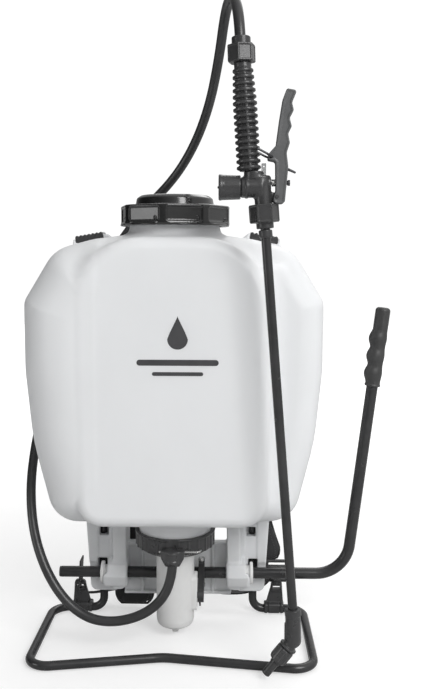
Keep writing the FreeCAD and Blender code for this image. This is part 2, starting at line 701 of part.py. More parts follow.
# ---- shut-off handle ----------------------------------------------------------------
GRIP_AXIS = (GRIP_FOOT - GRIP_TOP).normalize()
LANCE_AXIS = (LANCE_FOOT - LANCE_HEAD).normalize()


def hex_prism(across_corners, z0, z1):
    points = []
    for k in range(6):
        angle = math.pi * k / 3
        points.append(V(across_corners / 2 * math.cos(angle), across_corners / 2 * math.sin(angle), z0))
    return Part.Face(rounded_wire(points, [2.0] * 6)).extrude(V(0, 0, z1 - z0))


def hose_nut():
    """Compression nut that holds the hose in the handle's top."""
    nut = hex_prism(31.0, 0, 18)
    shoulder = upright(10.3, 18, 27)
    nut = nut.fuse(shoulder).cut([upright(HOSE_R + 0.6, 3.9, 28), upright(4.0, -1, 6)])
    return aim(nut, V(79.9, LANCE_Y, 699.5), V(-0.04, 0, 1))


GRIP_RIBS = 15


def handle_grip():
    """Corrugated hand grip; its hollow core carries the liquid."""
    length = (GRIP_FOOT - GRIP_TOP).Length
    pitch = (length - 6) / GRIP_RIBS
    profile = [(4.0, -5.0), (9.5, -5.0), (9.5, 3.0)]
    for k in range(GRIP_RIBS):
        start = 3.0 + pitch * k
        swell = 11.3 + 1.9 * min(1.0, k / 5.0)
        profile += [(swell - 2.2, start + 0.8), (swell, start + pitch * 0.35),
                    (swell, start + pitch * 0.6), (swell - 2.2, start + pitch * 0.95)]
    profile += [(9.5, length - 2.0), (9.5, length), (4.0, length)]
    return aim(lathe(profile), GRIP_TOP, GRIP_AXIS)


CHAMBER_Z = 566.3
STEM_R = 2.2
GLAND_END = 112.6
SPRING_END = 118.0
TAB_IN = 102.2           # inner face of the bleed tab, clear of the grip's last ring


def valve_body():
    """Shut-off valve: grip socket, level filter chamber and the outlet to the lance."""
    head = rod(11.0, V(94, LANCE_Y, 576), V(94, LANCE_Y, 583.6))
    head = head.cut(block(TAB_IN - 0.1, 110, LANCE_Y - 2.6, LANCE_Y + 2.6, 579.2, 590))
    column = rod(9.5, LANCE_HEAD + LANCE_AXIS * 2, LANCE_HEAD - LANCE_AXIS * 34)
    chamber = rod(11.3, V(79.5, LANCE_Y, CHAMBER_Z), V(104, LANCE_Y, CHAMBER_Z))
    lug = block(104, 124, LANCE_Y - 4, LANCE_Y + 4, 550.5, 561)
    gland = rod(6.5, V(104, LANCE_Y, STEM_Z), V(GLAND_END, LANCE_Y, STEM_Z))
    solid = head.fuse([column, chamber, lug, gland])
    flow = rod(4.0, V(92, LANCE_Y, 570), V(92, LANCE_Y, 590))
    sump = rod(8.0, V(79, LANCE_Y, CHAMBER_Z), V(93, LANCE_Y, CHAMBER_Z))
    outlet = rod(4.0, LANCE_HEAD + LANCE_AXIS * 3, LANCE_HEAD - LANCE_AXIS * 26)
    stem_bore = rod(STEM_R + 0.1, V(90, LANCE_Y, STEM_Z), V(GLAND_END + 1, LANCE_Y, STEM_Z))
    seal_groove = rod(4.0, V(100.1, LANCE_Y, STEM_Z), V(101.9, LANCE_Y, STEM_Z))
    pin_bore = rod(2.03, TRIGGER_PIVOT - V(0, 8, 0), TRIGGER_PIVOT + V(0, 8, 0))
    return solid.cut([flow, sump, outlet, stem_bore, seal_groove, pin_bore])


def filter_cap():
    """Fluted screw cap on the end of the filter chamber."""
    cap = rod(13.4, V(55.5, LANCE_Y, CHAMBER_Z), V(79.5, LANCE_Y, CHAMBER_Z))
    ribs = []
    for k in range(8):
        rib = block(56, 79.5, -1.4, 1.4, 12.5, 14.4)
        rib.translate(V(0, LANCE_Y, CHAMBER_Z))
        rib.rotate(V(0, LANCE_Y, CHAMBER_Z), V(1, 0, 0), 45.0 * k)
        ribs.append(rib)
    dish = rod(9.0, V(55, LANCE_Y, CHAMBER_Z), V(57.5, LANCE_Y, CHAMBER_Z))
    inside = rod(8.0, V(60, LANCE_Y, CHAMBER_Z), V(80, LANCE_Y, CHAMBER_Z))
    return cap.fuse(ribs).cut([dish, inside])


def filter_screen():
    tube = sleeve(6.6, 5.8, V(61, LANCE_Y, CHAMBER_Z), V(92, LANCE_Y, CHAMBER_Z))
    holes = []
    for k in range(6):
        for x in (66, 71, 76, 81, 86):
            hole = block(x - 1.2, x + 1.2, -1.4, 1.4, 4, 8)
            hole.translate(V(0, LANCE_Y, CHAMBER_Z))
            hole.rotate(V(0, LANCE_Y, CHAMBER_Z), V(1, 0, 0), 60.0 * k)
            holes.append(hole)
    return tube.cut(holes)


def valve_stem():
    """Steel push rod: its collar is pressed by the trigger, and its end nut holds the trigger."""
    stem = rod(STEM_R, V(97, LANCE_Y, STEM_Z), V(131, LANCE_Y, STEM_Z))
    nut = rod(3.6, V(130.6, LANCE_Y, STEM_Z), V(133.6, LANCE_Y, STEM_Z))
    return stem.fuse(nut)


def valve_spring():
    """Return spring round the stem, drawn as the sleeve it fills."""
    return sleeve(4.4, 2.6, V(GLAND_END + 0.2, LANCE_Y, STEM_Z), V(SPRING_END, LANCE_Y, STEM_Z))


def stem_seal():
    return Part.makeTorus(3.1, 0.8, V(101, LANCE_Y, STEM_Z), V(1, 0, 0))


TRIGGER_HALF = 8.0
BAIL_R = 1.25


def trigger():
    """Channel-section lever with finger waves on its outer side."""
    outline = [(117.8, 563.2, 2), (117.2, 594, 3), (108.6, 595.5, 2), (109.5, 602, 4),
               (118.3, 613, 8), (121.5, 638, 60), (127.5, 661, 8), (132.8, 670.5, 4),
               (139.5, 667, 3), (133.6, 655, 5), (136.2, 648, 4), (131.8, 640, 5),
               (134.2, 631, 4), (130.4, 623, 5), (132.4, 613.5, 4), (129, 603, 8),
               (131, 588, 20), (127.5, 548.5, 4), (114, 548.5, 4)]
    body = plate(outline, in_xz(LANCE_Y - TRIGGER_HALF), V(0, 2 * TRIGGER_HALF, 0))
    inner = [(108, 540, 0), (108, 700, 0), (124.8, 661, 0), (125.0, 590, 0), (125.4, 540, 0)]
    hollow = plate(inner, in_xz(LANCE_Y - TRIGGER_HALF + 2.6), V(0, 2 * TRIGGER_HALF - 5.2, 0))
    slot = block(120, 140, LANCE_Y - 2.7, LANCE_Y + 2.7, STEM_Z - 4.5, STEM_Z + 4.5)
    bail_slot = block(120, 140, LANCE_Y - 4.8, LANCE_Y + 4.8, 578, 593)
    pin_bore = rod(2.0, TRIGGER_PIVOT - V(0, 12, 0), TRIGGER_PIVOT + V(0, 12, 0))
    bail_bore = rod(BAIL_R + 0.1, BAIL_PIVOT - V(0, 12, 0), BAIL_PIVOT + V(0, 12, 0))
    return body.cut([hollow, slot, bail_slot, pin_bore, bail_bore])


def trigger_pin():
    return rod(1.98, TRIGGER_PIVOT - V(0, 9.5, 0), TRIGGER_PIVOT + V(0, 9.5, 0))


def wire_chain(points, radius):
    """Straight round wires from point to point, with a slightly fuller ball at each joint."""
    pieces = [rod(radius, a, b) for a, b in zip(points, points[1:])]
    return pieces + [Part.makeSphere(radius + 0.06, p) for p in points]


def lock_bail():
    """Wire latch pivoted in the trigger's ears: two prongs pass beside the grip, and the
    pointed tail comes out through the trigger for the thumb."""
    x0, z0 = BAIL_PIVOT.x, BAIL_PIVOT.z
    ear_out, prong_y, neck = 9.4, 15.2, 3.4
    pieces = []
    for side in (-1, 1):
        pieces += wire_chain([V(x0, LANCE_Y + side * ear_out, z0),
                              V(107, LANCE_Y + side * prong_y, z0 + 3),
                              V(97.5, LANCE_Y + side * prong_y, z0 + 8)], BAIL_R)
        pieces += wire_chain([V(x0, LANCE_Y + side * neck, z0),
                              V(130, LANCE_Y + side * neck, z0 - 12)], BAIL_R)
        pieces.append(rod(BAIL_R, V(130, LANCE_Y + side * neck, z0 - 12), V(138.6, LANCE_Y, z0 - 15.8)))
    pieces.append(Part.makeSphere(BAIL_R + 0.06, V(138.6, LANCE_Y, z0 - 15.8)))
    pin = rod(BAIL_R, V(x0, LANCE_Y - ear_out, z0), V(x0, LANCE_Y + ear_out, z0))
    return pin.fuse(pieces)


def bleed_tab():
    """Small clear tab on the valve's head, between the grip and the trigger."""
    return block(TAB_IN, 107.2, LANCE_Y - 2.5, LANCE_Y + 2.5, 579.2, 592.4)


# ---- lance and nozzle ---------------------------------------------------------------
def lance_nut():
    """Winged union nut between the valve and the lance."""
    nut = hex_prism(31.0, 0, 18.5)
    shoulder = upright(9.5, -3, 0)
    nut = nut.fuse(shoulder).cut([upright(LANCE_R + 0.1, -4, 20), upright(7.4, 17.6, 20)])
    return aim(nut, LANCE_HEAD + LANCE_AXIS * 22, LANCE_AXIS * -1)


def lance_tube():
    start = LANCE_HEAD + LANCE_AXIS * 4
    return sleeve(LANCE_R, LANCE_R - 1.3, start, LANCE_FOOT + LANCE_AXIS * 6)


def lance_ferrule():
    start = LANCE_HEAD + LANCE_AXIS * 25
    return sleeve(7.6, LANCE_R, start, start + LANCE_AXIS * 8)


def lance_o_ring():
    return Part.makeTorus(LANCE_R + 0.9, 0.85, LANCE_HEAD + LANCE_AXIS * 2.9, LANCE_AXIS)


ELBOW = V(144.2, LANCE_Y, 49.2)
SPRAY_AXIS = V(-0.618, 0, -0.786)


def nozzle_elbow():
    """Plastic elbow from the lance to the nozzle's thread."""
    upper = rod(8.9, LANCE_FOOT - LANCE_AXIS * 3, ELBOW)
    knee = Part.makeSphere(8.9, ELBOW)
    outlet = rod(7.4, ELBOW, ELBOW + SPRAY_AXIS * 19)
    collar = rod(10.6, ELBOW + SPRAY_AXIS * 8.5, ELBOW + SPRAY_AXIS * 11.5)
    rib = plate([(133.5, 70, 0), (133.5, 52, 0), (140, 48, 0), (140, 70, 0)], in_xz(LANCE_Y - 2), V(0, 4, 0))
    solid = upper.fuse([knee, outlet, collar, rib])
    inlet = rod(LANCE_R, LANCE_FOOT - LANCE_AXIS * 5, LANCE_FOOT + LANCE_AXIS * 6)
    flow = rod(2.5, LANCE_FOOT, ELBOW).fuse(rod(2.5, ELBOW, ELBOW + SPRAY_AXIS * 21))
    return solid.cut([inlet, flow])


def nozzle_nut():
    """Adjustable nozzle cap; turning it changes the spray from stream to mist."""
    start = ELBOW + SPRAY_AXIS * 12.5
    nut = lathe([(7.5, 0), (9.8, 0), (9.8, 17.5), (8.2, 18.5), (6.3, 18.5), (6.3, 12), (7.5, 12)])
    ribs = []
    for k in range(12):
        rib = block(9.4, 10.5, -1, 1, 1.5, 16)
        rib.rotate(V(0, 0, 0), UP, 30.0 * k)
        ribs.append(rib)
    return aim(nut.fuse(ribs), start, SPRAY_AXIS)


def nozzle_tip():
    """Cone body held by the nozzle cap, with the spray orifice in its end."""
    start = ELBOW + SPRAY_AXIS * 19.3
    tip = lathe([(0.6, 26), (0.6, 22), (3.2, 20), (3.2, 0), (7.3, 0), (7.3, 5), (6.2, 5), (6.2, 16),
                 (5.2, 17), (5.2, 33), (3.2, 33), (1.8, 28)])
    return aim(tip, start, SPRAY_AXIS)


# ---- write every part ---------------------------------------------------------------
def build():
    save("tank_shell", tank_shell())
    save("tank_skirt", tank_skirt())
    bracket = strap_bracket()
    save("strap_bracket_right", bracket)
    save("strap_bracket_left", mirrored(bracket))
    save("bracket_screws", bracket_screws())
    save("cap_ring", cap_ring())
    save("cap_lid", cap_lid())
    save("cap_gasket", cap_gasket())
    save("vent_valve", vent_valve())
    save("filter_basket", filter_basket())
    save("pump_collar", pump_collar())
    save("collar_gasket", collar_gasket())
    save("pressure_chamber", pressure_chamber())
    save("intake_strainer", intake_strainer())
    save("piston_tube", piston_tube())
    save("piston_head", piston_head())
    save("piston_seal", piston_seal())
    save("check_ball", check_ball())
    save("pump_cylinder", pump_cylinder())
    save("cylinder_wiper", cylinder_wiper())
    save("outlet_elbow", outlet_elbow())
    save("outlet_clip", outlet_clip())
    save("outlet_o_ring", outlet_o_ring())
    save("lever_tube", lever_tube())
    save("lever_grip", lever_grip())
    save("shaft_end_plug", shaft_end_plug())
    bush = shaft_bush()
    save("shaft_bush_right", bush)
    save("shaft_bush_left", mirrored(bush))
    save("crank_arm", crank_arm())
    save("crank_bolt", crank_bolt())
    save("stand_frame", stand_frame())
    save("stand_screws", stand_screws())
    clip = strap_clip()
    save("strap_clip_right", clip)
    save("strap_clip_left", mirrored(clip))
    save("shoulder_strap_left", shoulder_strap(-1))
    save("shoulder_strap_right", shoulder_strap(1))
    save("strap_webbing_left", strap_webbing_left())
    save("strap_webbing_right", strap_webbing_right())
    save("strap_buckle_left", placed_buckle(V(-66, 88.5, 26)))
    save("strap_buckle_right", placed_buckle(V(137, 76, 56)))
    save("hose", hose())
    save("hose_nut", hose_nut())
    save("handle_grip", handle_grip())
    save("valve_body", valve_body())
    save("filter_cap", filter_cap())
    save("filter_screen", filter_screen())
    save("valve_stem", valve_stem())
    save("valve_spring", valve_spring())
    save("stem_seal", stem_seal())
    save("trigger", trigger())
    save("trigger_pin", trigger_pin())
    save("lock_bail", lock_bail())
    save("bleed_tab", bleed_tab())
    save("lance_nut", lance_nut())
    save("lance_ferrule", lance_ferrule())
    save("lance_tube", lance_tube())
    save("lance_o_ring", lance_o_ring())
    save("nozzle_elbow", nozzle_elbow())
    save("nozzle_nut", nozzle_nut())
    save("nozzle_tip", nozzle_tip())


build()
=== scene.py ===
"""Looks of the backpack sprayer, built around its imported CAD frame.

Shape functions work in millimetres in the row frame, and MM turns them into metres.
Hard moulded parts are fields, negative inside, that `moulded` turns into meshes.
Straps are padded ribbons, webbing is woven ribbon, and the hose is one smooth spline.
"""
import math

import bpy
import numpy as np
from mathutils import Matrix, Vector
from mathutils.bvhtree import BVHTree


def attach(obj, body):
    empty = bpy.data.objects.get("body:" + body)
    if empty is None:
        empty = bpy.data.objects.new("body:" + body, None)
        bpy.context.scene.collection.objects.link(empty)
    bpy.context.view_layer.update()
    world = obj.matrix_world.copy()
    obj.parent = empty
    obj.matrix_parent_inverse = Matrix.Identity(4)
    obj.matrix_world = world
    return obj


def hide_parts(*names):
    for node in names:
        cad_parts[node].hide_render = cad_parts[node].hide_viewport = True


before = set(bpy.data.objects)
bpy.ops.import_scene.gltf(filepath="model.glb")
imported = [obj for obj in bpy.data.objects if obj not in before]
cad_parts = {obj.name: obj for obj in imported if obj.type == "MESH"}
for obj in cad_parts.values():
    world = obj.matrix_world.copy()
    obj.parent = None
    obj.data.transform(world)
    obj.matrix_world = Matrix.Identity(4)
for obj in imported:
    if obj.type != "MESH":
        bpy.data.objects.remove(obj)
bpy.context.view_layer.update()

MM = 0.001
PI = math.pi

# ---- places shared with the CAD model, in millimetres ----
SHAFT_Y, SHAFT_Z = 38, 67
LEG_X, LEG_Y = 103, 67
CLIP_Y, CLIP_Z = -52.6, 127.4
LANCE_Y = -125.0
LANCE_HEAD = np.array([105.0, LANCE_Y, 545.0])
LANCE_FOOT = np.array([143.0, LANCE_Y, 84.0])
GRIP_TOP = np.array([81.0, LANCE_Y, 694.0])
GRIP_FOOT = np.array([88.6, LANCE_Y, 584.0])
ELBOW = np.array([144.2, LANCE_Y, 49.2])
SPRAY = np.array([-0.618, 0.0, -0.786])
STEM_Z = 571.3
CHAMBER_Z = 566.3
PORT_Y = -58.0
PORT_Z = 122.5

MARK_X, MARK_Z = 8.0, 395.0

HOSE_DIAMETER = 0.012
HOSE_ROUTE = [(0, -58, 114), (-2, -59, 92), (-14, -62, 68), (-38, -64, 50), (-72, -64, 41),
              (-106, -60, 44), (-137, -53, 66), (-162, -42, 102), (-180, -22, 144),
              (-189, 6, 192), (-190, 42, 238), (-186, 82, 286), (-170, 112, 342),
              (-142, 122, 402), (-112, 118, 460), (-82, 110, 512), (-44, 103, 558),
              (-6, 92, 595), (22, 70, 636), (42, 40, 682), (54, 0, 730), (62, -38, 779),
              (70, -89, 784), (77.5, -125, 748), (79, -125, 704)]


# ---- distance fields ----
def unit(v):
    v = np.asarray(v, float)
    return v / np.linalg.norm(v)


def join(first, second, blend=0.0):
    """Union of two fields, with a fillet of about the blend distance."""
    reach = np.maximum(blend, 1e-6)
    near = np.maximum(reach - np.abs(first - second), 0) / reach
    return np.minimum(first, second) - near * near * reach / 4


def cut(solid, tool, blend=0.0):
    return -join(-solid, tool, blend)


def rounded(across, along, edge):
    """Where two distances meet in a corner, with that edge radius."""
    u, v = across + edge, along + edge
    outside = np.hypot(np.maximum(u, 0), np.maximum(v, 0))
    return np.minimum(np.maximum(u, v), 0) + outside - edge


def rod(p, start, end, radius, edge=0.3):
    start, end = np.asarray(start, float), np.asarray(end, float)
    half = np.linalg.norm(end - start) / 2
    axis = unit(end - start)
    rel = p - (start + end) / 2
    along = rel @ axis
    out = np.sqrt(np.maximum((rel * rel).sum(1) - along * along, 0))
    return rounded(out - radius, np.abs(along) - half, edge)


def upright(q, low, high, radius, edge=0.3):
    """Rod about the w axis."""
    return rod(q, (0, 0, low), (0, 0, high), radius, edge)


def level(p, start, end, z, radius, edge=0.3):
    """Rod along x in the lance's plane."""
    return rod(p, (start, LANCE_Y, z), (end, LANCE_Y, z), radius, edge)


def across_lance(p, x, z, half, radius):
    """Pin along y through the lance's plane."""
    return rod(p, (x, LANCE_Y - half, z), (x, LANCE_Y + half, z), radius, 0.1)


def ball(p, centre, radius):
    return np.linalg.norm(p - np.asarray(centre, float), axis=1) - radius


def brick(p, low, high, edge=0.8):
    low, high = np.asarray(low, float), np.asarray(high, float)
    q = np.abs(p - (low + high) / 2) - (high - low) / 2 + edge
    return np.linalg.norm(np.maximum(q, 0), axis=1) + np.minimum(q.max(1), 0) - edge


def slab(p, x0, x1, z0, z1, half, edge):
    """Brick centred on the lance's plane."""
    return brick(p, (x0, LANCE_Y - half, z0), (x1, LANCE_Y + half, z1), edge)


def on_shaft(q, start, end, radius, edge):
    """Rod along the pump shaft."""
    return rod(q, (start, SHAFT_Y, SHAFT_Z), (end, SHAFT_Y, SHAFT_Z), radius, edge)


def mirrored(p):
    """Points folded onto the right-hand side."""
    return np.stack([np.abs(p[:, 0]), p[:, 1], p[:, 2]], axis=1)


def flat(u, v, outline):
    """Signed distance in a plane to a closed outline of points."""
    near = np.full(u.shape, 1e12)
    inside = np.zeros(u.shape, bool)
    points = [(float(a[0]), float(a[1])) for a in outline]
    for (au, av), (bu, bv) in zip(points, points[1:] + points[:1]):
        eu, ev = bu - au, bv - av
        wu, wv = u - au, v - av
        t = np.clip((wu * eu + wv * ev) / (eu * eu + ev * ev), 0, 1)
        near = np.minimum(near, (wu - eu * t) ** 2 + (wv - ev * t) ** 2)
        if av != bv:
            inside ^= ((av > v) != (bv > v)) & (wu < eu * wv / ev)
    return np.where(inside, -1, 1) * np.sqrt(near)


def softened(corners, turn_step=0.15):
    """Points of a closed outline whose (u, v, radius) corners are drawn as arcs."""
    out = []
    count = len(corners)
    for i, (u, v, radius) in enumerate(corners):
        here = np.array([u, v], float)
        back = np.array(corners[i - 1][:2], float) - here
        ahead = np.array(corners[(i + 1) % count][:2], float) - here
        back_len, ahead_len = np.linalg.norm(back), np.linalg.norm(ahead)
        back, ahead = back / back_len, ahead / ahead_len
        turn = PI - math.acos(max(-1.0, min(1.0, float(back @ ahead))))
        if radius <= 0 or turn < 0.02:
            out.append(here)
            continue
        reach = min(radius * math.tan(turn / 2), 0.49 * min(back_len, ahead_len))
        radius = reach / math.tan(turn / 2)
        middle = unit(back + ahead)
        centre = here + middle * math.hypot(reach, radius)
        first, last = here + back * reach - centre, here + ahead * reach - centre
        steps = max(2, int(turn / turn_step))
        start = math.atan2(first[1], first[0])
        sweep = math.atan2(last[1], last[0]) - start
        sweep = (sweep + PI) % (2 * PI) - PI
        for k in range(steps + 1):
            a = start + sweep * k / steps
            out.append(centre + radius * np.array([math.cos(a), math.sin(a)]))
    return out


def local(p, origin, axis, side=(0, 1, 0)):
    """Coordinates (u, v, w) about an origin, with w along the axis and v near the side."""
    w = unit(axis)
    u = unit(np.cross(side, w))
    v = np.cross(w, u)
    return (p - np.asarray(origin, float)) @ np.stack([u, v, w], axis=1)


def around(q, count, turn=0.0):
    """Fold a local space about its w axis into one of count equal sectors, centred on +u."""
    angle = np.arctan2(q[:, 1], q[:, 0]) - turn
    sector = 2 * PI / count
    angle = (angle + sector / 2) % sector - sector / 2
    r = np.hypot(q[:, 0], q[:, 1])
    return np.stack([r * np.cos(angle), r * np.sin(angle), q[:, 2]], axis=1)


def turned(q, profile):
    """Solid of revolution about w from (radius, height) points."""
    return flat(np.hypot(q[:, 0], q[:, 1]), q[:, 2], profile)


# ---- meshing ----
BLOCK = 8


def sampled(field, origin, counts, step):
    """Field values on a grid, worked out in full only in blocks that the surface crosses."""
    blocks = -(-counts // BLOCK)
    corners = np.indices(blocks).reshape(3, -1).T * BLOCK
    coarse = field(origin + (corners + (BLOCK - 1) / 2) * step)
    values = coarse.reshape(blocks)
    for axis in range(3):
        values = np.repeat(values, BLOCK, axis)
    inner = np.indices((BLOCK,) * 3).reshape(3, -1).T
    near = corners[np.abs(coarse) < BLOCK * step * 1.15]
    for i in range(0, len(near), 400):
        cells = (near[i:i + 400, None, :] + inner[None]).reshape(-1, 3)
        values[tuple(cells.T)] = field(origin + cells * step)
    return values


def net(values, origin, step):
    """Surface of the region below zero, one vertex in each cell that it crosses."""
    inside = values < 0
    shape = np.array(values.shape) - 1
    corners = [np.array((i, j, k)) for i in (0, 1) for j in (0, 1) for k in (0, 1)]
    filled = np.zeros(shape, np.int8)
    for i, j, k in corners:
        filled += inside[i:shape[0] + i, j:shape[1] + j, k:shape[2] + k]
    cells = np.argwhere((filled > 0) & (filled < 8))
    number = np.full(shape, -1, np.int64)
    number[tuple(cells.T)] = np.arange(len(cells))
    total = np.zeros((len(cells), 3))
    hits = np.zeros(len(cells))
    for a in corners:
        for axis in range(3):
            if a[axis]:
                continue
            step_on = np.eye(3, dtype=int)[axis]
            va = values[tuple((cells + a).T)]
            vb = values[tuple((cells + a + step_on).T)]
            crosses = (va < 0) != (vb < 0)
            t = np.where(crosses, va / np.where(crosses, va - vb, 1), 0)
            total += crosses[:, None] * (a + t[:, None] * step_on)
            hits += crosses
    points = origin + step * (cells + total / hits[:, None])
    quads = []
    for axis in range(3):
        one, two = np.eye(3, dtype=int)[(axis + 1) % 3], np.eye(3, dtype=int)[(axis + 2) % 3]
        low = [slice(1, -1)] * 3
        high = [slice(1, -1)] * 3
        low[axis], high[axis] = slice(0, -1), slice(1, None)
        starts, ends = inside[tuple(low)], inside[tuple(high)]
        edges = np.argwhere(starts != ends)
        outward = starts[tuple(edges.T)]
        at = edges + one + two
        ring = [number[tuple((at - shift).T)] for shift in (0 * one, one, one + two, two)]
        quad = np.stack(ring, axis=1)
        quads.append(np.where(outward[:, None], quad, quad[:, ::-1]))
    return points, np.concatenate(quads)


def settled(field, points, step):
    """Vertices moved onto the true surface."""
    reach = 0.04 * step
    for _ in range(3):
        value = field(points)
        slope = np.stack([field(points + reach * e) - field(points - reach * e)
                          for e in np.eye(3)], axis=1) / (2 * reach)
        move = -value[:, None] * slope / np.maximum((slope ** 2).sum(1), 0.3)[:, None]
        far = np.linalg.norm(move, axis=1, keepdims=True)
        points = points + move * np.minimum(1, 0.6 * step / np.maximum(far, 1e-9))
    return points


def mesh_object(name, points, faces, smooth=True):
    mesh = bpy.data.meshes.new(name)
    rows = faces.tolist() if isinstance(faces, np.ndarray) else [list(f) for f in faces]
    mesh.from_pydata((np.asarray(points) * MM).tolist(), [], rows)
    mesh.validate()
    if smooth:
        mesh.shade_smooth()
    obj = bpy.data.objects.new(name, mesh)
    bpy.context.scene.collection.objects.link(obj)
    return obj


def placed(obj, body, material, stands_for=()):
    """Give a new piece its finish, its body and the CAD nodes that it stands for."""
    obj.data.materials.clear()
    obj.data.materials.append(material)
    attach(obj, body)
    if stands_for:
        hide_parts(*stands_for)
    return obj


def moulded(name, field, low, high, step, body, material, stands_for=()):
    """Mesh a field inside the box from low to high and place the piece."""
    origin = np.asarray(low, float) - 1.5 * step
    counts = np.ceil((np.asarray(high, float) - origin) / step).astype(int) + 3
    points, faces = net(sampled(field, origin, counts, step), origin, step)
    points = settled(field, points, step)
    return placed(mesh_object(name, points, faces), body, material, stands_for)


def black(name, field, low, high, step, node, body="sprayer"):
    """A moulded piece in black nylon."""
    moulded(name, field, low, high, step, body, BLACK, [node])


def pair(name, field, low, high, step, material, node):
    """A moulded piece, given by its right-hand box, and its mirror image."""
    for side, hand in ((1, "right"), (-1, "left")):
        ends = sorted((side * low[0], side * high[0]))
        moulded(f"{name}_{hand}", field, (ends[0], *low[1:]), (ends[1], *high[1:]), step, "sprayer",
                material, [f"{node}_{hand}"])


def tube(name, places, radius, rounds, kind="POLY", closed=False):
    """Round tube through places in millimetres, with capped ends unless it is closed."""
    curve = bpy.data.curves.new(name, "CURVE")
    curve.dimensions = "3D"
    line = curve.splines.new(kind)
    line.points.add(len(places) - 1)
    for point, place in zip(line.points, places):
        point.co = (*(c * MM for c in place), 1.0)
    line.use_cyclic_u = closed
    curve.bevel_depth = radius * MM
    curve.bevel_resolution = rounds
    curve.use_fill_caps = not closed
    obj = bpy.data.objects.new(name, curve)
    bpy.context.scene.collection.objects.link(obj)
    return obj


def loft_faces(rows, count):
    """Faces round rows of count points each, with flat ends."""
    faces = [tuple(range(count - 1, -1, -1))]
    for k in range(rows - 1):
        for m in range(count):
            n = (m + 1) % count
            faces.append((k * count + m, k * count + n, (k + 1) * count + n, (k + 1) * count + m))
    faces.append(tuple((rows - 1) * count + m for m in range(count)))
    return faces


def travelled(chain):
    """Distance along a chain of points."""
    return np.concatenate([[0.0], np.cumsum(np.linalg.norm(np.diff(chain, axis=0), axis=1))])


# ---- materials ----
def link(tree, source, socket):
    tree.links.new(source, socket)


def preset(node, **values):
    """Set a node's own properties, or else its sockets, spaces written as underscores."""
    for key, value in values.items():
        if hasattr(node, key):
            setattr(node, key, value)
        else:
            node.inputs[key.replace("_", " ")].default_value = value
    return node


def add(tree, kind, **values):
    return preset(tree.nodes.new(kind), **values)


def noise(tree, scale, detail=3.0, stretch=None):
    """Noise in the row frame, in metres, optionally stretched along the axes."""
    spot = add(tree, "ShaderNodeTexCoord").outputs["Object"]
    if stretch:
        mapping = add(tree, "ShaderNodeMapping")
        mapping.inputs["Scale"].default_value = stretch
        link(tree, spot, mapping.inputs["Vector"])
        spot = mapping.outputs["Vector"]
    node = add(tree, "ShaderNodeTexNoise", Scale=scale, Detail=detail)
    link(tree, spot, node.inputs["Vector"])
    return node.outputs["Fac"]


def ramp(tree, source, low, high, start=0.3, end=0.7):
    """A value spread between two numbers or two colours."""
    if isinstance(low, tuple):
        node = add(tree, "ShaderNodeMix", data_type="RGBA")
        a, b, out = node.inputs[6], node.inputs[7], node.outputs[2]
        a.default_value, b.default_value = (*low, 1), (*high, 1)
        spread = add(tree, "ShaderNodeMapRange", From_Min=start, From_Max=end)
        link(tree, source, spread.inputs["Value"])
        link(tree, spread.outputs["Result"], node.inputs[0])
        return out
    node = add(tree, "ShaderNodeMapRange", From_Min=start, From_Max=end, To_Min=low, To_Max=high)
    link(tree, source, node.inputs["Value"])
    return node.outputs["Result"]


def base_material(name):
    material = bpy.data.materials.new(name)
    material.use_nodes = True
    tree = material.node_tree
    return material, tree, tree.nodes["Principled BSDF"]


def bumped(tree, shader, height, distance, strength=1.0, edge=0.0):
    """Bump on a shader, over slightly rounded edges where an edge radius is given."""
    bump = add(tree, "ShaderNodeBump", Strength=strength, Distance=distance)
    link(tree, height, bump.inputs["Height"])
    if edge:
        bevel = add(tree, "ShaderNodeBevel", samples=6, Radius=edge)
        link(tree, bevel.outputs["Normal"], bump.inputs["Normal"])
    link(tree, bump.outputs["Normal"], shader.inputs["Normal"])


def polymer(name, dark, light, rough, grain, depth, edge=0.0, soft=0.0, gloss=0.5, coat=0.0):
    """Moulded plastic or rubber: two near colours, a roughness pair and a surface grain."""
    material, tree, shader = base_material(name)
    link(tree, ramp(tree, noise(tree, 35.0), dark, light), shader.inputs["Base Color"])
    link(tree, ramp(tree, noise(tree, 60.0, 5.0), *rough), shader.inputs["Roughness"])
    preset(shader, Specular_IOR_Level=gloss, Coat_Weight=coat, Coat_Roughness=0.15, Subsurface_Weight=soft,
           Subsurface_Radius=(1.0, 1.0, 0.95), Subsurface_Scale=0.012)
    bumped(tree, shader, noise(tree, grain, 2.0), depth, 0.5, edge)
    return material


def tank_plastic():
    """Natural blow-moulded polyethylene: milky, satin, with faint cloudy flow marks."""
    material, tree, shader = base_material("tank_plastic")
    cloud = noise(tree, 7.0, 4.0, (1.0, 1.0, 0.45))
    tint = ramp(tree, cloud, (0.765, 0.775, 0.785), (0.805, 0.815, 0.825))
    link(tree, tint, shader.inputs["Base Color"])
    link(tree, ramp(tree, noise(tree, 30.0, 4.0), 0.36, 0.46), shader.inputs["Roughness"])
    preset(shader, Subsurface_Weight=0.25, Subsurface_Radius=(1.0, 1.0, 0.97), Subsurface_Scale=0.02,
           Specular_IOR_Level=0.45)
    mix = add(tree, "ShaderNodeMath", operation="ADD")
    link(tree, noise(tree, 22.0, 2.0), mix.inputs[0])
    fine = add(tree, "ShaderNodeMath", operation="MULTIPLY")
    fine.inputs[1].default_value = 0.15
    link(tree, noise(tree, 420.0, 2.0), fine.inputs[0])
    link(tree, fine.outputs[0], mix.inputs[1])
    bumped(tree, shader, mix.outputs[0], 0.0006, 0.35)
    return material


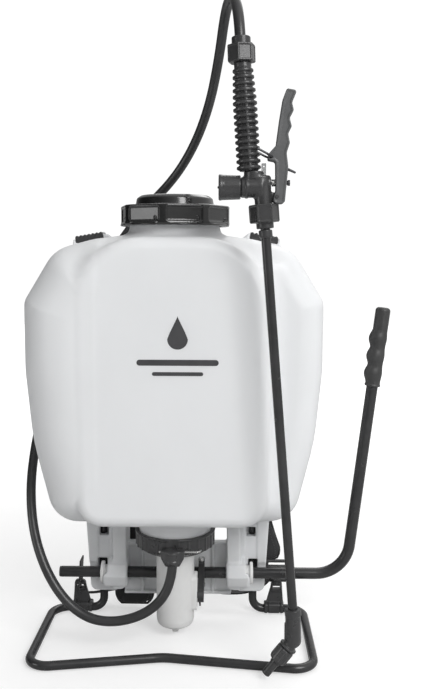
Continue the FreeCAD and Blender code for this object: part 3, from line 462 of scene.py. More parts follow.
def metal(name, colour, rough):
    material, tree, shader = base_material(name)
    preset(shader, Metallic=1.0)
    tint = tuple(0.85 * c for c in colour)
    link(tree, ramp(tree, noise(tree, 90.0), tint, colour), shader.inputs["Base Color"])
    link(tree, ramp(tree, noise(tree, 240.0, 4.0), *rough), shader.inputs["Roughness"])
    bumped(tree, shader, noise(tree, 900.0, 2.0), 0.00004, 0.4, 0.0003)
    return material


def woven(name, dark, light, pitch, depth, space="UV", ways=("X", "Y")):
    """Cloth in plain weave: two crossed sets of threads, in the given space, in metres."""
    material, tree, shader = base_material(name)
    uv = add(tree, "ShaderNodeTexCoord").outputs[space]
    waves = []
    for direction in ways:
        wave = add(tree, "ShaderNodeTexWave", bands_direction=direction, Scale=0.314 / pitch)
        link(tree, uv, wave.inputs["Vector"])
        waves.append(wave.outputs["Fac"])
    height = add(tree, "ShaderNodeMath", operation="MULTIPLY")
    link(tree, waves[0], height.inputs[0])
    link(tree, waves[1], height.inputs[1])
    link(tree, ramp(tree, height.outputs[0], dark, light, 0.0, 0.8), shader.inputs["Base Color"])
    link(tree, ramp(tree, noise(tree, 80.0), 0.72, 0.88), shader.inputs["Roughness"])
    preset(shader, Sheen_Weight=0.25, Sheen_Roughness=0.5)
    bumped(tree, shader, height.outputs[0], depth, 0.8)
    return material


TANK = tank_plastic()
WHITE = polymer("white_acetal", (0.78, 0.78, 0.77), (0.84, 0.84, 0.83), (0.30, 0.40), 300.0, 0.0001,
                soft=0.25)
MILKY = polymer("skirt_polyethylene", (0.70, 0.71, 0.72), (0.77, 0.78, 0.79), (0.38, 0.50), 200.0,
                0.0002, soft=0.3)
CAP = polymer("cap_gloss_black", (0.007, 0.007, 0.007), (0.012, 0.012, 0.012), (0.18, 0.26), 260.0,
              0.00006, coat=0.6)
BLACK = polymer("nylon_black", (0.034, 0.034, 0.035), (0.048, 0.048, 0.049), (0.24, 0.34), 700.0,
                0.0001)
# Painted sheen: black nylon drawn in a lighter grey, standing in for the light that the trigger's flat face
# catches.
TRIGGER_SHEEN_NYLON = polymer("nylon_black_painted_sheen", (0.085, 0.087, 0.089), (0.110, 0.112, 0.114), (0.30, 0.42), 500.0,
               0.0001)
BLACK_EDGED = polymer("nylon_black_edged", (0.034, 0.034, 0.035), (0.048, 0.048, 0.049),
                      (0.34, 0.46), 700.0, 0.0001, edge=0.0006)
RUBBER = polymer("soft_rubber", (0.020, 0.020, 0.020), (0.030, 0.030, 0.030), (0.50, 0.62), 500.0,
                 0.0002)
HOSE = polymer("hose_rubber", (0.026, 0.026, 0.027), (0.038, 0.038, 0.039), (0.27, 0.36), 380.0,
               0.00012)
GRIP = polymer("grip_rubber", (0.036, 0.036, 0.036), (0.050, 0.050, 0.050), (0.42, 0.54), 520.0,
               0.00015)
COAT = polymer("powder_coat", (0.022, 0.022, 0.023), (0.034, 0.034, 0.035), (0.20, 0.28), 650.0,
               0.00008)
STEEL = metal("stainless_steel", (0.62, 0.62, 0.61), (0.22, 0.34))
BASKET = polymer("basket_plastic", (0.74, 0.74, 0.72), (0.80, 0.80, 0.78), (0.35, 0.45), 300.0,
                 0.0001, edge=0.0005)
FABRIC = woven("strap_nylon", (0.014, 0.014, 0.015), (0.040, 0.040, 0.042), 0.0011, 0.0003,
               "Object", ("X", "Z"))
WEBBING = woven("webbing_polypropylene", (0.016, 0.016, 0.017), (0.048, 0.048, 0.050), 0.0016, 0.0004)
CLEAR = polymer("clear_acetal", (0.62, 0.63, 0.63), (0.72, 0.73, 0.73), (0.10, 0.18), 300.0, 0.00005,
                gloss=0.7)
preset(CLEAR.node_tree.nodes["Principled BSDF"], Transmission_Weight=0.7)
THREAD = polymer("sewing_thread", (0.055, 0.055, 0.058), (0.085, 0.085, 0.09), (0.6, 0.7), 900.0,
                 0.00004)
BINDING = woven("strap_binding", (0.012, 0.012, 0.012), (0.030, 0.030, 0.031), 0.0009, 0.0002,
                "Object", ("X", "Z"))
WIRE = metal("blackened_wire", (0.10, 0.10, 0.105), (0.25, 0.38))
PRINT = polymer("print_ink", (0.040, 0.040, 0.042), (0.055, 0.055, 0.058), (0.45, 0.55), 300.0,
                0.00005)


# ---- camera, light and floor ----
CAMERA_PLACE = (0.0633, -1.0699, 0.4915)
CAMERA_PITCH, CAMERA_YAW, CAMERA_ROLL = 0.1038, 0.0137, 0.0034
CAMERA_LENS, CAMERA_SENSOR = 44.4, 36.0


def make_camera():
    camera = bpy.data.objects.new("camera", bpy.data.cameras.new("camera"))
    camera.data.lens = CAMERA_LENS
    camera.data.sensor_width = CAMERA_SENSOR
    camera.data.clip_start = 0.01
    turn = Matrix.Rotation(CAMERA_YAW, 4, "Z") @ Matrix.Rotation(PI / 2 - CAMERA_PITCH, 4, "X")
    turn = turn @ Matrix.Rotation(CAMERA_ROLL, 4, "Z")
    camera.matrix_world = Matrix.Translation(CAMERA_PLACE) @ turn
    bpy.context.scene.collection.objects.link(camera)
    bpy.context.scene.camera = camera


def softbox(name, place, target, size, power):
    light = bpy.data.lights.new(name, "AREA")
    light.shape = "RECTANGLE"
    light.size, light.size_y = size
    light.energy = power
    obj = bpy.data.objects.new(name, light)
    obj.location = place
    direction = Vector(target) - Vector(place)
    obj.rotation_euler = direction.to_track_quat("-Z", "Y").to_euler()
    bpy.context.scene.collection.objects.link(obj)


def make_world():
    """A white studio: plain white to the eye, and a soft uneven dome to light by."""
    world = bpy.data.worlds.new("studio")
    bpy.context.scene.world = world
    world.use_nodes = True
    tree = world.node_tree
    tree.nodes.clear()
    way = add(tree, "ShaderNodeSeparateXYZ")
    link(tree, add(tree, "ShaderNodeTexCoord").outputs["Generated"], way.inputs["Vector"])
    height = ramp(tree, way.outputs["Z"], 0.42, 1.0, -0.1, 0.8)
    flank = ramp(tree, way.outputs["X"], 0.03, 1.05, -0.9, 0.5)
    product = add(tree, "ShaderNodeMath", operation="MULTIPLY")
    link(tree, height, product.inputs[0])
    link(tree, flank, product.inputs[1])
    dome = add(tree, "ShaderNodeBackground", Color=(1, 1, 1, 1))
    link(tree, product.outputs[0], dome.inputs["Strength"])
    seen = add(tree, "ShaderNodeBackground", Strength=1.05, Color=(1, 1, 1, 1))
    choice = add(tree, "ShaderNodeMixShader")
    rays = add(tree, "ShaderNodeLightPath")
    link(tree, rays.outputs["Is Camera Ray"], choice.inputs[0])
    link(tree, dome.outputs[0], choice.inputs[1])
    link(tree, seen.outputs[0], choice.inputs[2])
    out = add(tree, "ShaderNodeOutputWorld")
    link(tree, choice.outputs[0], out.inputs["Surface"])


FLOOR_SPAN = 5000.0


def make_floor():
    corners = [(u * FLOOR_SPAN, v * FLOOR_SPAN, -0.3) for u, v in ((-1, -1), (1, -1), (1, 1), (-1, 1))]
    floor = mesh_object("floor", corners, [(0, 1, 2, 3)], smooth=False)
    paper = polymer("floor_paper", (0.58, 0.58, 0.58), (0.60, 0.60, 0.60), (0.8, 0.9), 90.0, 0.0002,
                    gloss=0.1)
    floor.data.materials.append(paper)
    tree = paper.node_tree
    reach = add(tree, "ShaderNodeVectorMath", operation="LENGTH")
    link(tree, add(tree, "ShaderNodeTexCoord").outputs["Object"], reach.inputs[0])
    glow = ramp(tree, reach.outputs["Value"], 0.46, 0.9, 0.3, 2.0)
    seen = add(tree, "ShaderNodeMath", operation="MULTIPLY")
    link(tree, glow, seen.inputs[0])
    link(tree, add(tree, "ShaderNodeLightPath").outputs["Is Camera Ray"], seen.inputs[1])
    shader = tree.nodes["Principled BSDF"]
    preset(shader, Emission_Color=(1, 1, 1, 1))
    link(tree, seen.outputs[0], shader.inputs["Emission Strength"])


make_camera()
make_world()
make_floor()
softbox("key", (1.25, -1.95, 1.75), (0.0, 0.0, 0.35), (1.3, 1.2), 40.0)
softbox("fill", (-1.85, -0.95, 0.62), (0.0, 0.0, 0.5), (0.7, 0.8), 6.0)
softbox("back", (0.3, 1.6, 1.9), (0.0, 0.0, 0.4), (1.6, 1.0), 10.0)
bpy.context.scene.view_settings.view_transform = "Standard"


# ---- hose ----
def make_hose():
    obj = tube("hose_line", HOSE_ROUTE, HOSE_DIAMETER / 2 / MM, 9, "NURBS")
    line = obj.data.splines[0]
    line.order_u = 3
    line.use_endpoint_u = True
    line.resolution_u = 10
    placed(obj, "sprayer", HOSE, ["hose"])
    tuple(c * MM for c in HOSE_ROUTE[0])


make_hose()


# ---- tank ----
WING = softened([(-230, 158, 0), (150, 158, 40), (176, 262, 260), (184.5, 350, 220),
                 (184.5, 436, 22), (146, 499, 44), (96, 512.5, 60), (-230, 513, 0)])
PANEL = softened([(-200, 166, 0), (115, 166, 34), (119, 340, 400), (119, 514, 96), (-200, 514, 0)])
WING_FRONT, WING_ROUND = -52.0, 34.0
PLAIN_FRONT, PLAIN_ROUND = -87.5, 69.0
TANK_BACK, BACK_ROUND = 88.0, 27.0
TANK_MIDDLE = 18.0
PANEL_MIDDLE, PANEL_HALF, PANEL_ROUND = -34.0, 54.0, 16.0
EAR_PLACE = (112.0, 46.0, 510.0)
EAR_TILT = math.radians(10)
EAR = softened([(-32, -14, 0), (-28, -1, 2), (-20, 8.1, 1), (20, 8.1, 1), (23, -3, 3), (25, -14, 0)])
BRACKET_HALF = 18.2
TEETH = 7


def ear_space(p):
    """The right-hand strap ear's own space; both ears, since x is folded."""
    folded = mirrored(p) - EAR_PLACE
    c, s = math.cos(EAR_TILT), math.sin(EAR_TILT)
    return np.stack([folded[:, 0] * c - folded[:, 2] * s, folded[:, 1],
                     folded[:, 0] * s + folded[:, 2] * c], axis=1)


def tank_field(p):
    x, y, z = np.abs(p[:, 0]), p[:, 1], p[:, 2]
    side = flat(x, z, WING)
    plain = np.clip((-p[:, 0] - 50.0) / 40.0, 0, 1)
    front = rounded(side, WING_FRONT - y, WING_ROUND)
    front = front + plain * (rounded(side, PLAIN_FRONT - y, PLAIN_ROUND) - front)
    back = rounded(side, y - TANK_BACK, BACK_ROUND)
    body = np.where(y < TANK_MIDDLE, front, back)
    panel = rounded(flat(x, z, PANEL), np.abs(y - PANEL_MIDDLE) - PANEL_HALF, PANEL_ROUND)
    whole = join(body, panel, 22.0 - 19.0 * plain * np.clip((505.0 - z) / 60.0, 0, 1))
    collar = turned(p, [(0, 480), (63, 480), (63, 512), (58, 519), (56, 527), (56, 543), (0, 543)])
    whole = join(whole, collar, 7.0)
    thread = turned(p, [(50, 533), (57.6, 533.6), (57.6, 535.4), (50, 536)])
    whole = join(whole, thread, 0.8)
    on_ear = ear_space(p)
    ear = rounded(flat(on_ear[:, 0], on_ear[:, 2], EAR), np.abs(on_ear[:, 1]) - 15, 1.5)
    seat = brick(on_ear, (-18.4, -20, 0), (18.4, 20, 20), 0.3)
    whole = join(whole, cut(ear, seat, 0.6), 3.0)
    back_rest = brick(p, (-78, 84.5, 205), (78, 120, 455), 9.0)
    whole = cut(whole, back_rest, 4.0)
    bore = upright(p, 430, 560, 50.0, 1.0)
    bottom_bore = upright(p, 120, 205, 44.4, 1.0)
    return cut(cut(whole, bore, 1.0), bottom_bore, 1.0)


def foot_field(p):
    return turned(p, softened([(44.4, 128, 0.5), (46.4, 128, 0.5), (46.4, 155, 3), (51, 165, 3),
                               (51, 172, 0), (44.4, 172, 0)]))


moulded("tank", tank_field, (-185, -89, 150), (185, 89, 544), 2.4, "sprayer", TANK,
        ["tank_shell"])
moulded("tank_foot", foot_field, (-52, -52, 127), (52, 52, 173), 1.0, "sprayer", TANK)


# ---- skirt under the tank ----
def skirt_field(p):
    q = mirrored(p)
    x, y, z = q.T
    inner = rounded(flat(x, z, softened([(66, 175, 0), (68, 46, 10), (86, 46, 0), (84, 175, 0)])),
                    np.abs(y - 51) - 23, 2.0)
    wing = softened([(82, 175, 0), (82, 36, 3), (118, 36, 9), (126.5, 175, 0)])
    outer = rounded(flat(x, z, wing), np.abs(y - 62.2) - 12.2, 1.6)
    turn = local(q, (82, SHAFT_Y, SHAFT_Z), (1, 0, 0))
    facets = around(turn, 8, PI / 8)
    boss = rounded(facets[:, 0] - 19.0, np.abs(turn[:, 2]) - 16, 4.0)
    socket = rod(q, (LEG_X, LEG_Y, 36), (LEG_X, LEG_Y, 175), 9.2, 1.2)
    solid = join(join(inner, outer, 3.0), boss, 3.5)
    solid = join(solid, socket, 2.0)
    back = brick(q, (-5, 58, 31), (73, 63, 104), 1.5)
    ledge = brick(q, (-5, 50, 100), (73, 63, 104), 1.2)
    rail = brick(q, (-5, 52, 31), (73, 63, 35), 1.2)
    rib = brick(q, (46.5, 52, 33), (49.5, 60, 102), 0.8)
    plate = join(join(back, ledge, 2.0), join(rail, rib, 1.0), 2.0)
    solid = join(solid, plate, 2.5)
    pocket = brick(q, (72, 34, 98), (80, 80, 151), 3.0)
    window = brick(q, (93.5, 20, 113), (106, 67, 126), 1.2)
    notch = brick(q, (96, 20, 66), (109, 67, 81.5), 1.2)
    channel = brick(q, (92, 20, 70), (108, 51.4, 136), 1.2)
    leg = rod(q, (LEG_X, LEG_Y, 30), (LEG_X, LEG_Y, 152), 5.6, 0.2)
    bush = on_shaft(q, 60, 98, 9.8, 0.2)
    clear = on_shaft(q, 98, 135, 15.5, 1.0)
    screw = rod(q, (123.1, 67, 140), (135, 67, 140), 4.7, 0.2)
    for tool in (pocket, window, notch, channel, leg, bush, clear, screw):
        solid = cut(solid, tool, 1.0)
    return cut(solid, tank_field(p) - 0.2)


moulded("skirt", skirt_field, (-127, -1, 30), (127, 76, 176), 1.5, "sprayer", MILKY,
        ["tank_skirt"])


# ---- cap ----
CAP_TURN = math.radians(13.5)


def cap_ring_field(p):
    side = around(p, 8, CAP_TURN)
    r = np.hypot(p[:, 0], p[:, 1])
    z = p[:, 2]
    wall = np.maximum(side[:, 0] - 65.0, r - 68.2)
    shell = rounded(wall, np.abs(z - 540.6) - 12.2, 2.2)
    panel = brick(side, (63.3, -21.5, 532.8), (80, 21.5, 549.6), 1.6)
    shell = cut(shell, panel, 1.0)
    dimple = ball(side, (63.6, 16.0, 536.2), 1.7)
    shell = join(shell, dimple, 0.8)
    flange = rounded(r - 67.6, np.abs(z - 529.0) - 1.1, 0.8)
    shell = join(shell, flange, 0.8)
    bore = upright(p, 520, 550.1, 59.0, 0.5)
    mouth = upright(p, 500, 570, 50.0, 0.5)
    return cut(cut(shell, bore), mouth, 1.5)


def lid_field(p):
    profile = softened([(0, 562.6, 0), (40, 562.6, 2), (44.6, 558, 2), (45, 546.5, 0), (57, 546.5, 0.4),
                        (57, 549.8, 0.8), (49.4, 549.8, 0.8), (47.2, 562, 3), (42.5, 565.2, 2),
                        (41, 565.6, 1), (39, 564.8, 1), (0, 564.8, 0)])
    lid = turned(p, profile)
    bar = brick(p, (-38, -2.2, 563.5), (38, 2.2, 567), 0.9)
    bar = np.maximum(bar, p[:, 2] - 565.6)
    return join(lid, bar, 0.8)


moulded("cap_nut_ring", cap_ring_field, (-69, -69, 527), (69, 69, 554), 1.0, "cap_nut",
        CAP, ["cap_ring"])
moulded("cap_cover", lid_field, (-58, -58, 545), (58, 58, 567), 1.0, "cap_body",
        CAP, ["cap_lid"])


# ---- strap anchors on the shoulders ----
def anchor_field(p):
    q = ear_space(p)
    plate = brick(q, (-BRACKET_HALF, -13, 0.1), (BRACKET_HALF, 13, 8.0), 0.9)
    pitch = 2 * BRACKET_HALF / TEETH
    tooth = q.copy()
    tooth[:, 0] = (q[:, 0] + BRACKET_HALF) % pitch - pitch / 2
    bump = rod(tooth, (0, -13, 7.6), (0, 4, 7.6), 2.0, 0.6)
    row = np.maximum(bump, np.abs(q[:, 0]) - BRACKET_HALF)
    plate = join(plate, row, 0.5)
    groove = brick(q, (-15, -14, 2.2), (15, -12.5, 2.8), 0.2)
    plate = cut(plate, groove, 0.4)
    return cut(plate, brick(q, (-12.6, 0, 2.2), (12.6, 15, 6.2), 0.5), 0.6)


pair("strap_anchor", anchor_field, (92, 32, 503), (134, 60, 526), 0.7, BLACK,
     "strap_bracket")


# ---- pump ----
def collar_field(p):
    profile = softened([(27, 115, 1), (40, 115, 6), (50.4, 122, 5), (50.4, 138.5, 1), (51.6, 139.5, 1),
                        (51.6, 142, 1), (47.2, 142, 0.5), (47, 126.2, 0), (44.2, 126.2, 0),
                        (44.2, 118, 0), (27, 118, 0)])
    ring = turned(p, profile)
    side = around(p, 24, PI / 24)
    rib = brick(side, (48, -1.3, 121.5), (51.3, 1.3, 139), 0.7)
    ring = join(ring, rib, 0.6)
    port = rod(p, (0, -46, PORT_Z), (0, -50.8, PORT_Z), 8.2, 0.6)
    ring = join(ring, port, 2.5)
    ring = cut(ring, rod(p, (0, -40, PORT_Z), (0, -60, PORT_Z), 3.4, 0.1))
    return cut(ring, rod(p, (0, PORT_Y, 100), (0, PORT_Y, 150), 9.05, 0.1))


def elbow_field(p):
    barrel = rod(p, (0, PORT_Y, 114), (0, PORT_Y, 131), 9.0, 2.5)
    wedge = softened([(-15.5, 131, 2), (15.5, 131, 2), (14, 122, 5), (8.6, 112, 2), (-8.6, 112, 2),
                      (-14, 122, 5)])
    saddle = rounded(flat(p[:, 0], p[:, 2], wedge), np.abs(p[:, 1] + 56.5) - 6.5, 1.5)
    saddle = np.maximum(saddle, 51.8 - np.hypot(p[:, 0], p[:, 1]))
    head = join(barrel, saddle, 2.0)
    band = rod(p, (0, PORT_Y, 116), (0, PORT_Y, 119.5), 9.9, 1.0)
    head = join(head, band, 1.0)
    spigot = rod(p, (0, -41, PORT_Z), (0, PORT_Y, PORT_Z), 3.3, 0.3)
    head = join(head, spigot, 1.0)
    head = cut(head, rod(p, (-20, CLIP_Y, CLIP_Z), (20, CLIP_Y, CLIP_Z), 1.7, 0.1))
    return cut(head, rod(p, (0, PORT_Y, 105), (0, PORT_Y, 116), 6.0, 0.3), 0.6)


def clip_wire_field(p):
    """The elbow's retaining wire, straight in front and bent back at its end."""
    bends = [(-17.5, CLIP_Y, CLIP_Z), (30, CLIP_Y, CLIP_Z), (33, -51, CLIP_Z), (34, -45, CLIP_Z)]
    wire = rod(p, bends[0], bends[1], 1.3, 0.4)
    for start, end in zip(bends[1:], bends[2:]):
        wire = join(wire, rod(p, start, end, 1.3, 0.4), 0.6)
    return join(wire, ball(p, bends[1], 1.4), 0.4)


def cylinder_field(p):
    profile = softened([(0, 1.8, 0), (4.0, 1.8, 1.4), (5.2, 9.2, 1), (15, 10.6, 4), (23, 15, 6),
                        (24.5, 22, 4), (24.5, 150, 1), (21.5, 150, 1), (21.5, 16, 4), (0, 16, 0)])
    cup = turned(p, profile)
    lug = rounded(flat(p[:, 1], p[:, 2], softened([(-13, 34, 5), (13, 34, 5), (13, 80, 5),
                                                   (-13, 80, 5)])), np.abs(p[:, 0] - 24.3) - 4.3, 1.2)
    lug = cut(lug, upright(p, 10, 110, 22.5, 0.2))
    cup = join(cup, lug, 1.6)
    return cut(cup, brick(p, (22.7, -6.8, 45.4), (40, 7.0, 54.8), 0.6), 0.5)


def bush_field(p):
    q = mirrored(p)
    body = on_shaft(q, 66, 100, 9.8, 0.4)
    flange = on_shaft(q, 98, 102, 14.5, 1.0)
    return cut(join(body, flange, 0.6), on_shaft(q, 60, 110, 7.6, 0.2), 0.4)


black("collar", collar_field, (-53, -53, 114), (53, 53, 143), 1.0, "pump_collar")
black("hose_elbow", elbow_field, (-16.5, -69, 112), (16.5, -40, 140), 0.6, "outlet_elbow")
moulded("elbow_clip", clip_wire_field, (-19, -55, 125.5), (36, -43, 129.5), 0.4, "sprayer",
        STEEL, ["outlet_clip"])
moulded("cylinder_cup", cylinder_field, (-25, -25, 2), (29, 25, 151), 0.9, "cylinder",
        WHITE, ["pump_cylinder"])
pair("bush", bush_field, (65, 23, 52), (103, 53, 82), 0.7, WHITE, "shaft_bush")


# ---- pump lever ----
LEVER_BOTTOM = np.array([226.5, 38.0, 67.0])
LEVER_TOP = np.array([262.5, 38.0, 370.0])
FINGER_WAVES = (17, 40, 63)


def lever_grip_field(p):
    along = unit(LEVER_TOP - LEVER_BOTTOM)
    q = local(p, LEVER_TOP - along * 48, along)
    core = upright(q, 0, 104, 9.6, 4.5)
    for height in FINGER_WAVES:
        core = join(core, ball(q, (-2.4, 0, height), 10.8), 5.0)
    cuff = upright(q, 0, 3.0, 10.3, 1.2)
    seam = brick(q, (-0.5, -10.0, 2), (0.5, 0, 100), 0.3)
    grip = join(join(core, cuff, 1.0), np.maximum(seam, core - 0.35), 0.4)
    return cut(grip, upright(q, -2, 48, 7.5, 0.1), 0.4)


moulded("lever_handle", lever_grip_field, (243, 26, 320), (280, 50, 428), 0.8, "lever",
        GRIP, ["lever_grip"])


# ---- handle and valve ----
RIBS = 16
LANCE_AXIS = unit(LANCE_FOOT - LANCE_HEAD)
NUT_TURN = math.radians(15)


def nut_field(q, height, across, turn):
    """Union nut about w, from 0 to height: crisp faces, framed flats and tapered ends."""
    face = around(q, 6, turn)
    r = np.hypot(q[:, 0], q[:, 1])
    flat_reach = across * math.cos(PI / 6)
    middle = np.abs(q[:, 2] - height / 2) - height / 2
    body = rounded(face[:, 0] - flat_reach, middle, 0.7)
    frame_in = brick(face, (flat_reach - 0.5, -across * 0.40, 2.0),
                     (flat_reach + 3, across * 0.40, height - 2.0), 0.4)
    body = cut(body, frame_in, 0.4)
    cone = (r + 0.62 * middle) / 1.18 - across * 0.80
    return np.maximum(body, cone)


def hose_nut_field(p):
    q = local(p, (79.9, LANCE_Y, 699.5), (-0.04, 0, 1))
    nut = nut_field(q, 18.5, 15.7, PI / 6 + NUT_TURN)
    shoulder = upright(q, 16, 27, 10.3, 1.4)
    nut = join(nut, shoulder, 1.0)
    skirt = upright(q, -0.4, 6, 12.0, 1.6)
    nut = join(nut, skirt, 0.8)
    return cut(nut, upright(q, 4, 40, 6.3, 0.3), 0.7)


def lance_nut_field(p):
    q = local(p, LANCE_HEAD + LANCE_AXIS * 17, -LANCE_AXIS)
    nut = nut_field(q, 20.0, 16.6, PI / 6)
    nut = join(nut, upright(q, -6.5, 6, 9.6, 1.0), 0.8)
    return cut(nut, upright(q, -8, 40, 5.5, 0.2), 0.5)


def grip_field(p):
    q = local(p, GRIP_TOP, GRIP_FOOT - GRIP_TOP)
    length = float(np.linalg.norm(GRIP_FOOT - GRIP_TOP))
    r, w = np.hypot(q[:, 0], q[:, 1]), q[:, 2]
    pitch = length / RIBS
    swell = 11.2 + 2.1 * np.clip(w / (0.34 * length), 0, 1)
    beat = 0.5 + 0.5 * np.cos(2 * PI * (w / pitch - 0.5))
    crest = beat ** 0.8
    reach = swell - 3.3 * (1 - np.clip(crest * 1.25, 0, 1))
    ribbed = (r - reach) / 2.6
    body = np.maximum(ribbed, np.abs(w - length / 2) - length / 2)
    core = upright(q, -5, length, 9.4, 0.6)
    seam = brick(q, (-2.9, -14, 0), (0.1, 0, length), 0.4)
    seam = np.maximum(seam, r - swell + 1.3)
    grip = join(join(body, core, 0.8), seam, 0.5)
    return cut(grip, upright(q, -10, 120, 4.0, 0.1))


def valve_field(p):
    head = rod(p, (94, LANCE_Y, 575), (94, LANCE_Y, 583.6), 11.0, 1.5)
    column = rod(p, LANCE_HEAD + LANCE_AXIS * 2, LANCE_HEAD - LANCE_AXIS * 34, 9.5, 2.0)
    chamber = level(p, 79.5, 104, CHAMBER_Z, 11.3, 2.0)
    solid = join(join(head, column, 3.0), chamber, 3.0)
    lug = slab(p, 100, 124, 550.5, 561, 4, 2.0)
    solid = join(solid, lug, 2.5)
    gland = level(p, 100, 112.6, STEM_Z, 6.5, 0.8)
    solid = join(solid, gland, 1.2)
    band = level(p, 84.5, 87.5, CHAMBER_Z, 12.1, 0.8)
    solid = join(solid, band, 0.8)
    web = slab(p, 84, 104, 560, 580, 1.4, 0.8)
    solid = join(solid, web, 1.5)
    seat = slab(p, 100.8, 112, 579.2, 592, 2.6, 0.2)
    solid = cut(solid, seat)
    for start, end, z, radius in ((90, 115, STEM_Z, 2.3), (79, 93, CHAMBER_Z, 8)):
        solid = cut(solid, level(p, start, end, z, radius, 0.1), 0.3)
    pin = across_lance(p, 119, 556, 9, 2.03)
    return cut(solid, pin, 0.3)


def filter_cap_field(p):
    q = local(p, (55.3, LANCE_Y, CHAMBER_Z), (1, 0, 0))
    r, w = np.hypot(q[:, 0], q[:, 1]), q[:, 2]
    swell = 13.9 - 0.8 * np.clip(w / 24, 0, 1)
    drum = rounded((r - swell), np.abs(w - 12.1) - 12.1, 1.2)
    flute = around(q, 12, PI / 12)
    groove = rod(flute, (15.3, 0, 6), (15.3, 0, 30), 1.9, 0.5)
    drum = cut(drum, groove, 0.8)
    lip = rounded(r - 14.2, np.abs(w - 2.0) - 1.4, 0.9)
    drum = join(drum, lip, 0.8)
    drum = cut(drum, upright(q, -3, 2.2, 10.2, 0.8), 0.6)
    nub = join(upright(q, 1, 3, 4.5, 0.8), upright(q, -1.2, 3, 1.3, 0.6), 1.0)
    drum = join(drum, nub, 0.6)
    return cut(drum, upright(q, 5, 40, 8.0, 0.5))


TRIGGER_OUTLINE = softened([(117.8, 563.2, 2), (117.2, 594, 3), (108.6, 595.5, 2), (109.5, 602, 4),
                            (117.6, 611, 4), (121.0, 638, 90), (124.6, 661, 10), (128.4, 671, 2.5),
                            (139.5, 669, 2.5), (134.2, 656, 5), (136.2, 648, 4), (131.8, 640, 5),
                            (134.2, 631, 4), (130.4, 623, 5), (132.4, 613.5, 4), (129, 603, 8),
                            (131, 588, 20), (127.5, 548.5, 4), (114, 548.5, 4)])


def trigger_field(p):
    x, y, z = p[:, 0], np.abs(p[:, 1] - LANCE_Y), p[:, 2]
    outline = flat(x, z, TRIGGER_OUTLINE)
    body = rounded(outline, y - 8.0, 1.3)
    inner = softened([(95, 540, 0), (95, 720, 0), (126.6, 665, 0), (124.6, 600, 20), (125.4, 540, 0)])
    body = cut(body, rounded(flat(x, z, inner), y - 5.4, 1.2), 0.8)
    rim = np.abs(outline + 1.2) - 1.2
    lip = rounded(rim, np.abs(y - 7.9) - 0.75, 0.5)
    body = join(body, np.maximum(lip, 108 - x), 0.6)
    q = np.stack([x, p[:, 1], z], axis=1)
    body = cut(body, slab(q, 120, 145, STEM_Z - 4.5, STEM_Z + 4.5, 2.7, 0.8), 0.5)
    body = cut(body, slab(q, 120, 145, 578, 593, 4.8, 1.0), 0.5)
    return cut(body, across_lance(q, 112.5, 598.5, 12, 1.35))


black("grip_bellows", grip_field, (66, -140, 583), (104, -110, 700), 0.7, "handle_grip")
black("hose_union", hose_nut_field, (62, -142, 698), (98, -108, 728), 0.6, "hose_nut")
black("lance_union", lance_nut_field, (88, -143, 518), (126, -107, 550), 0.6, "lance_nut")
black("valve_housing", valve_field, (79, -139, 542), (125, -111, 585), 0.6, "valve_body")
black("strainer_cap", filter_cap_field, (53, -140, 551), (81, -110, 582), 0.6, "filter_cap")
# The trigger wears the lighter nylon; its lighter tone is a painted sheen.
moulded("trigger_lever", trigger_field, (107, -135, 547), (141, -115, 673), 0.7, "trigger_lever",
        TRIGGER_SHEEN_NYLON, ["trigger"])


# ---- nozzle ----
def nozzle_elbow_field(p):
    upper = rod(p, LANCE_FOOT - LANCE_AXIS * 3, ELBOW, 8.9, 1.2)
    elbow = join(upper, ball(p, ELBOW, 8.9))
    outlet = rod(p, ELBOW, ELBOW + unit(SPRAY) * 19, 7.4, 0.4)
    collar = rod(p, ELBOW + unit(SPRAY) * 8.5, ELBOW + unit(SPRAY) * 11.5, 10.6, 0.7)
    elbow = join(join(elbow, outlet, 1.2), collar, 0.6)
    step = rod(p, LANCE_FOOT - LANCE_AXIS * 3, LANCE_FOOT + LANCE_AXIS * 5, 9.5, 0.8)
    elbow = join(elbow, step, 0.8)
    rib = slab(p, 133.5, 142, 50, 70, 2, 0.8)
    elbow = join(elbow, rib, 1.0)
    return cut(elbow, rod(p, LANCE_FOOT - LANCE_AXIS * 9, LANCE_FOOT + LANCE_AXIS * 6, 5.4, 0.1), 0.3)


def nozzle_nut_field(p):
    q = local(p, ELBOW + unit(SPRAY) * 12.5, SPRAY)
    nut = upright(q, 0, 18.5, 9.8, 1.2)
    rib = brick(around(q, 12), (8, -1.1, 1.2), (10.6, 1.1, 16.5), 0.7)
    nut = join(nut, rib, 0.7)
    nut = cut(nut, upright(q, -2, 12, 7.6, 0.2), 0.3)
    return cut(nut, upright(q, 5, 30, 6.3, 0.2), 0.5)


def nozzle_tip_field(p):
    q = local(p, ELBOW + unit(SPRAY) * 19.3, SPRAY)
    profile = softened([(0.6, 26, 0), (0.6, 22, 0), (3.2, 20, 0), (3.2, 0, 0), (7.3, 0, 0.4),
                        (7.3, 5, 0.4), (6.1, 5.5, 0.3), (6.1, 15.5, 0.8), (5.2, 17, 0.8), (5.2, 33, 1),
                        (3.2, 33, 0.6), (1.8, 28, 0)])
    return turned(q, profile)


black("nozzle_body", nozzle_elbow_field, (125, -137, 32), (156, -113, 90), 0.6, "nozzle_elbow")
black("nozzle_cap", nozzle_nut_field, (114, -137, 18), (148, -113, 49), 0.6, "nozzle_nut", "spray_cap")
black("nozzle_spout", nozzle_tip_field, (104, -134, 4), (141, -116, 40), 0.5, "nozzle_tip")


# ---- small pieces of the handle ----
def coil(start, axis, radius, turns, length):
    """The middle line of a helical spring whose ends close up."""
    steps = int(turns * 28)
    along = unit(axis)
    first = unit(np.cross(along, (0.0, 1.0, 0.2)))
    second = np.cross(along, first)
    places = []
    for k in range(steps + 1):
        share = k / steps
        eased = 0.06 * min(share * 12, 1) + 0.88 * share + 0.06 * max(0, share * 12 - 11)
        angle = 2 * PI * turns * share
        place = np.asarray(start) + along * length * eased
        places.append(place + (first * math.cos(angle) + second * math.sin(angle)) * radius)
    return places


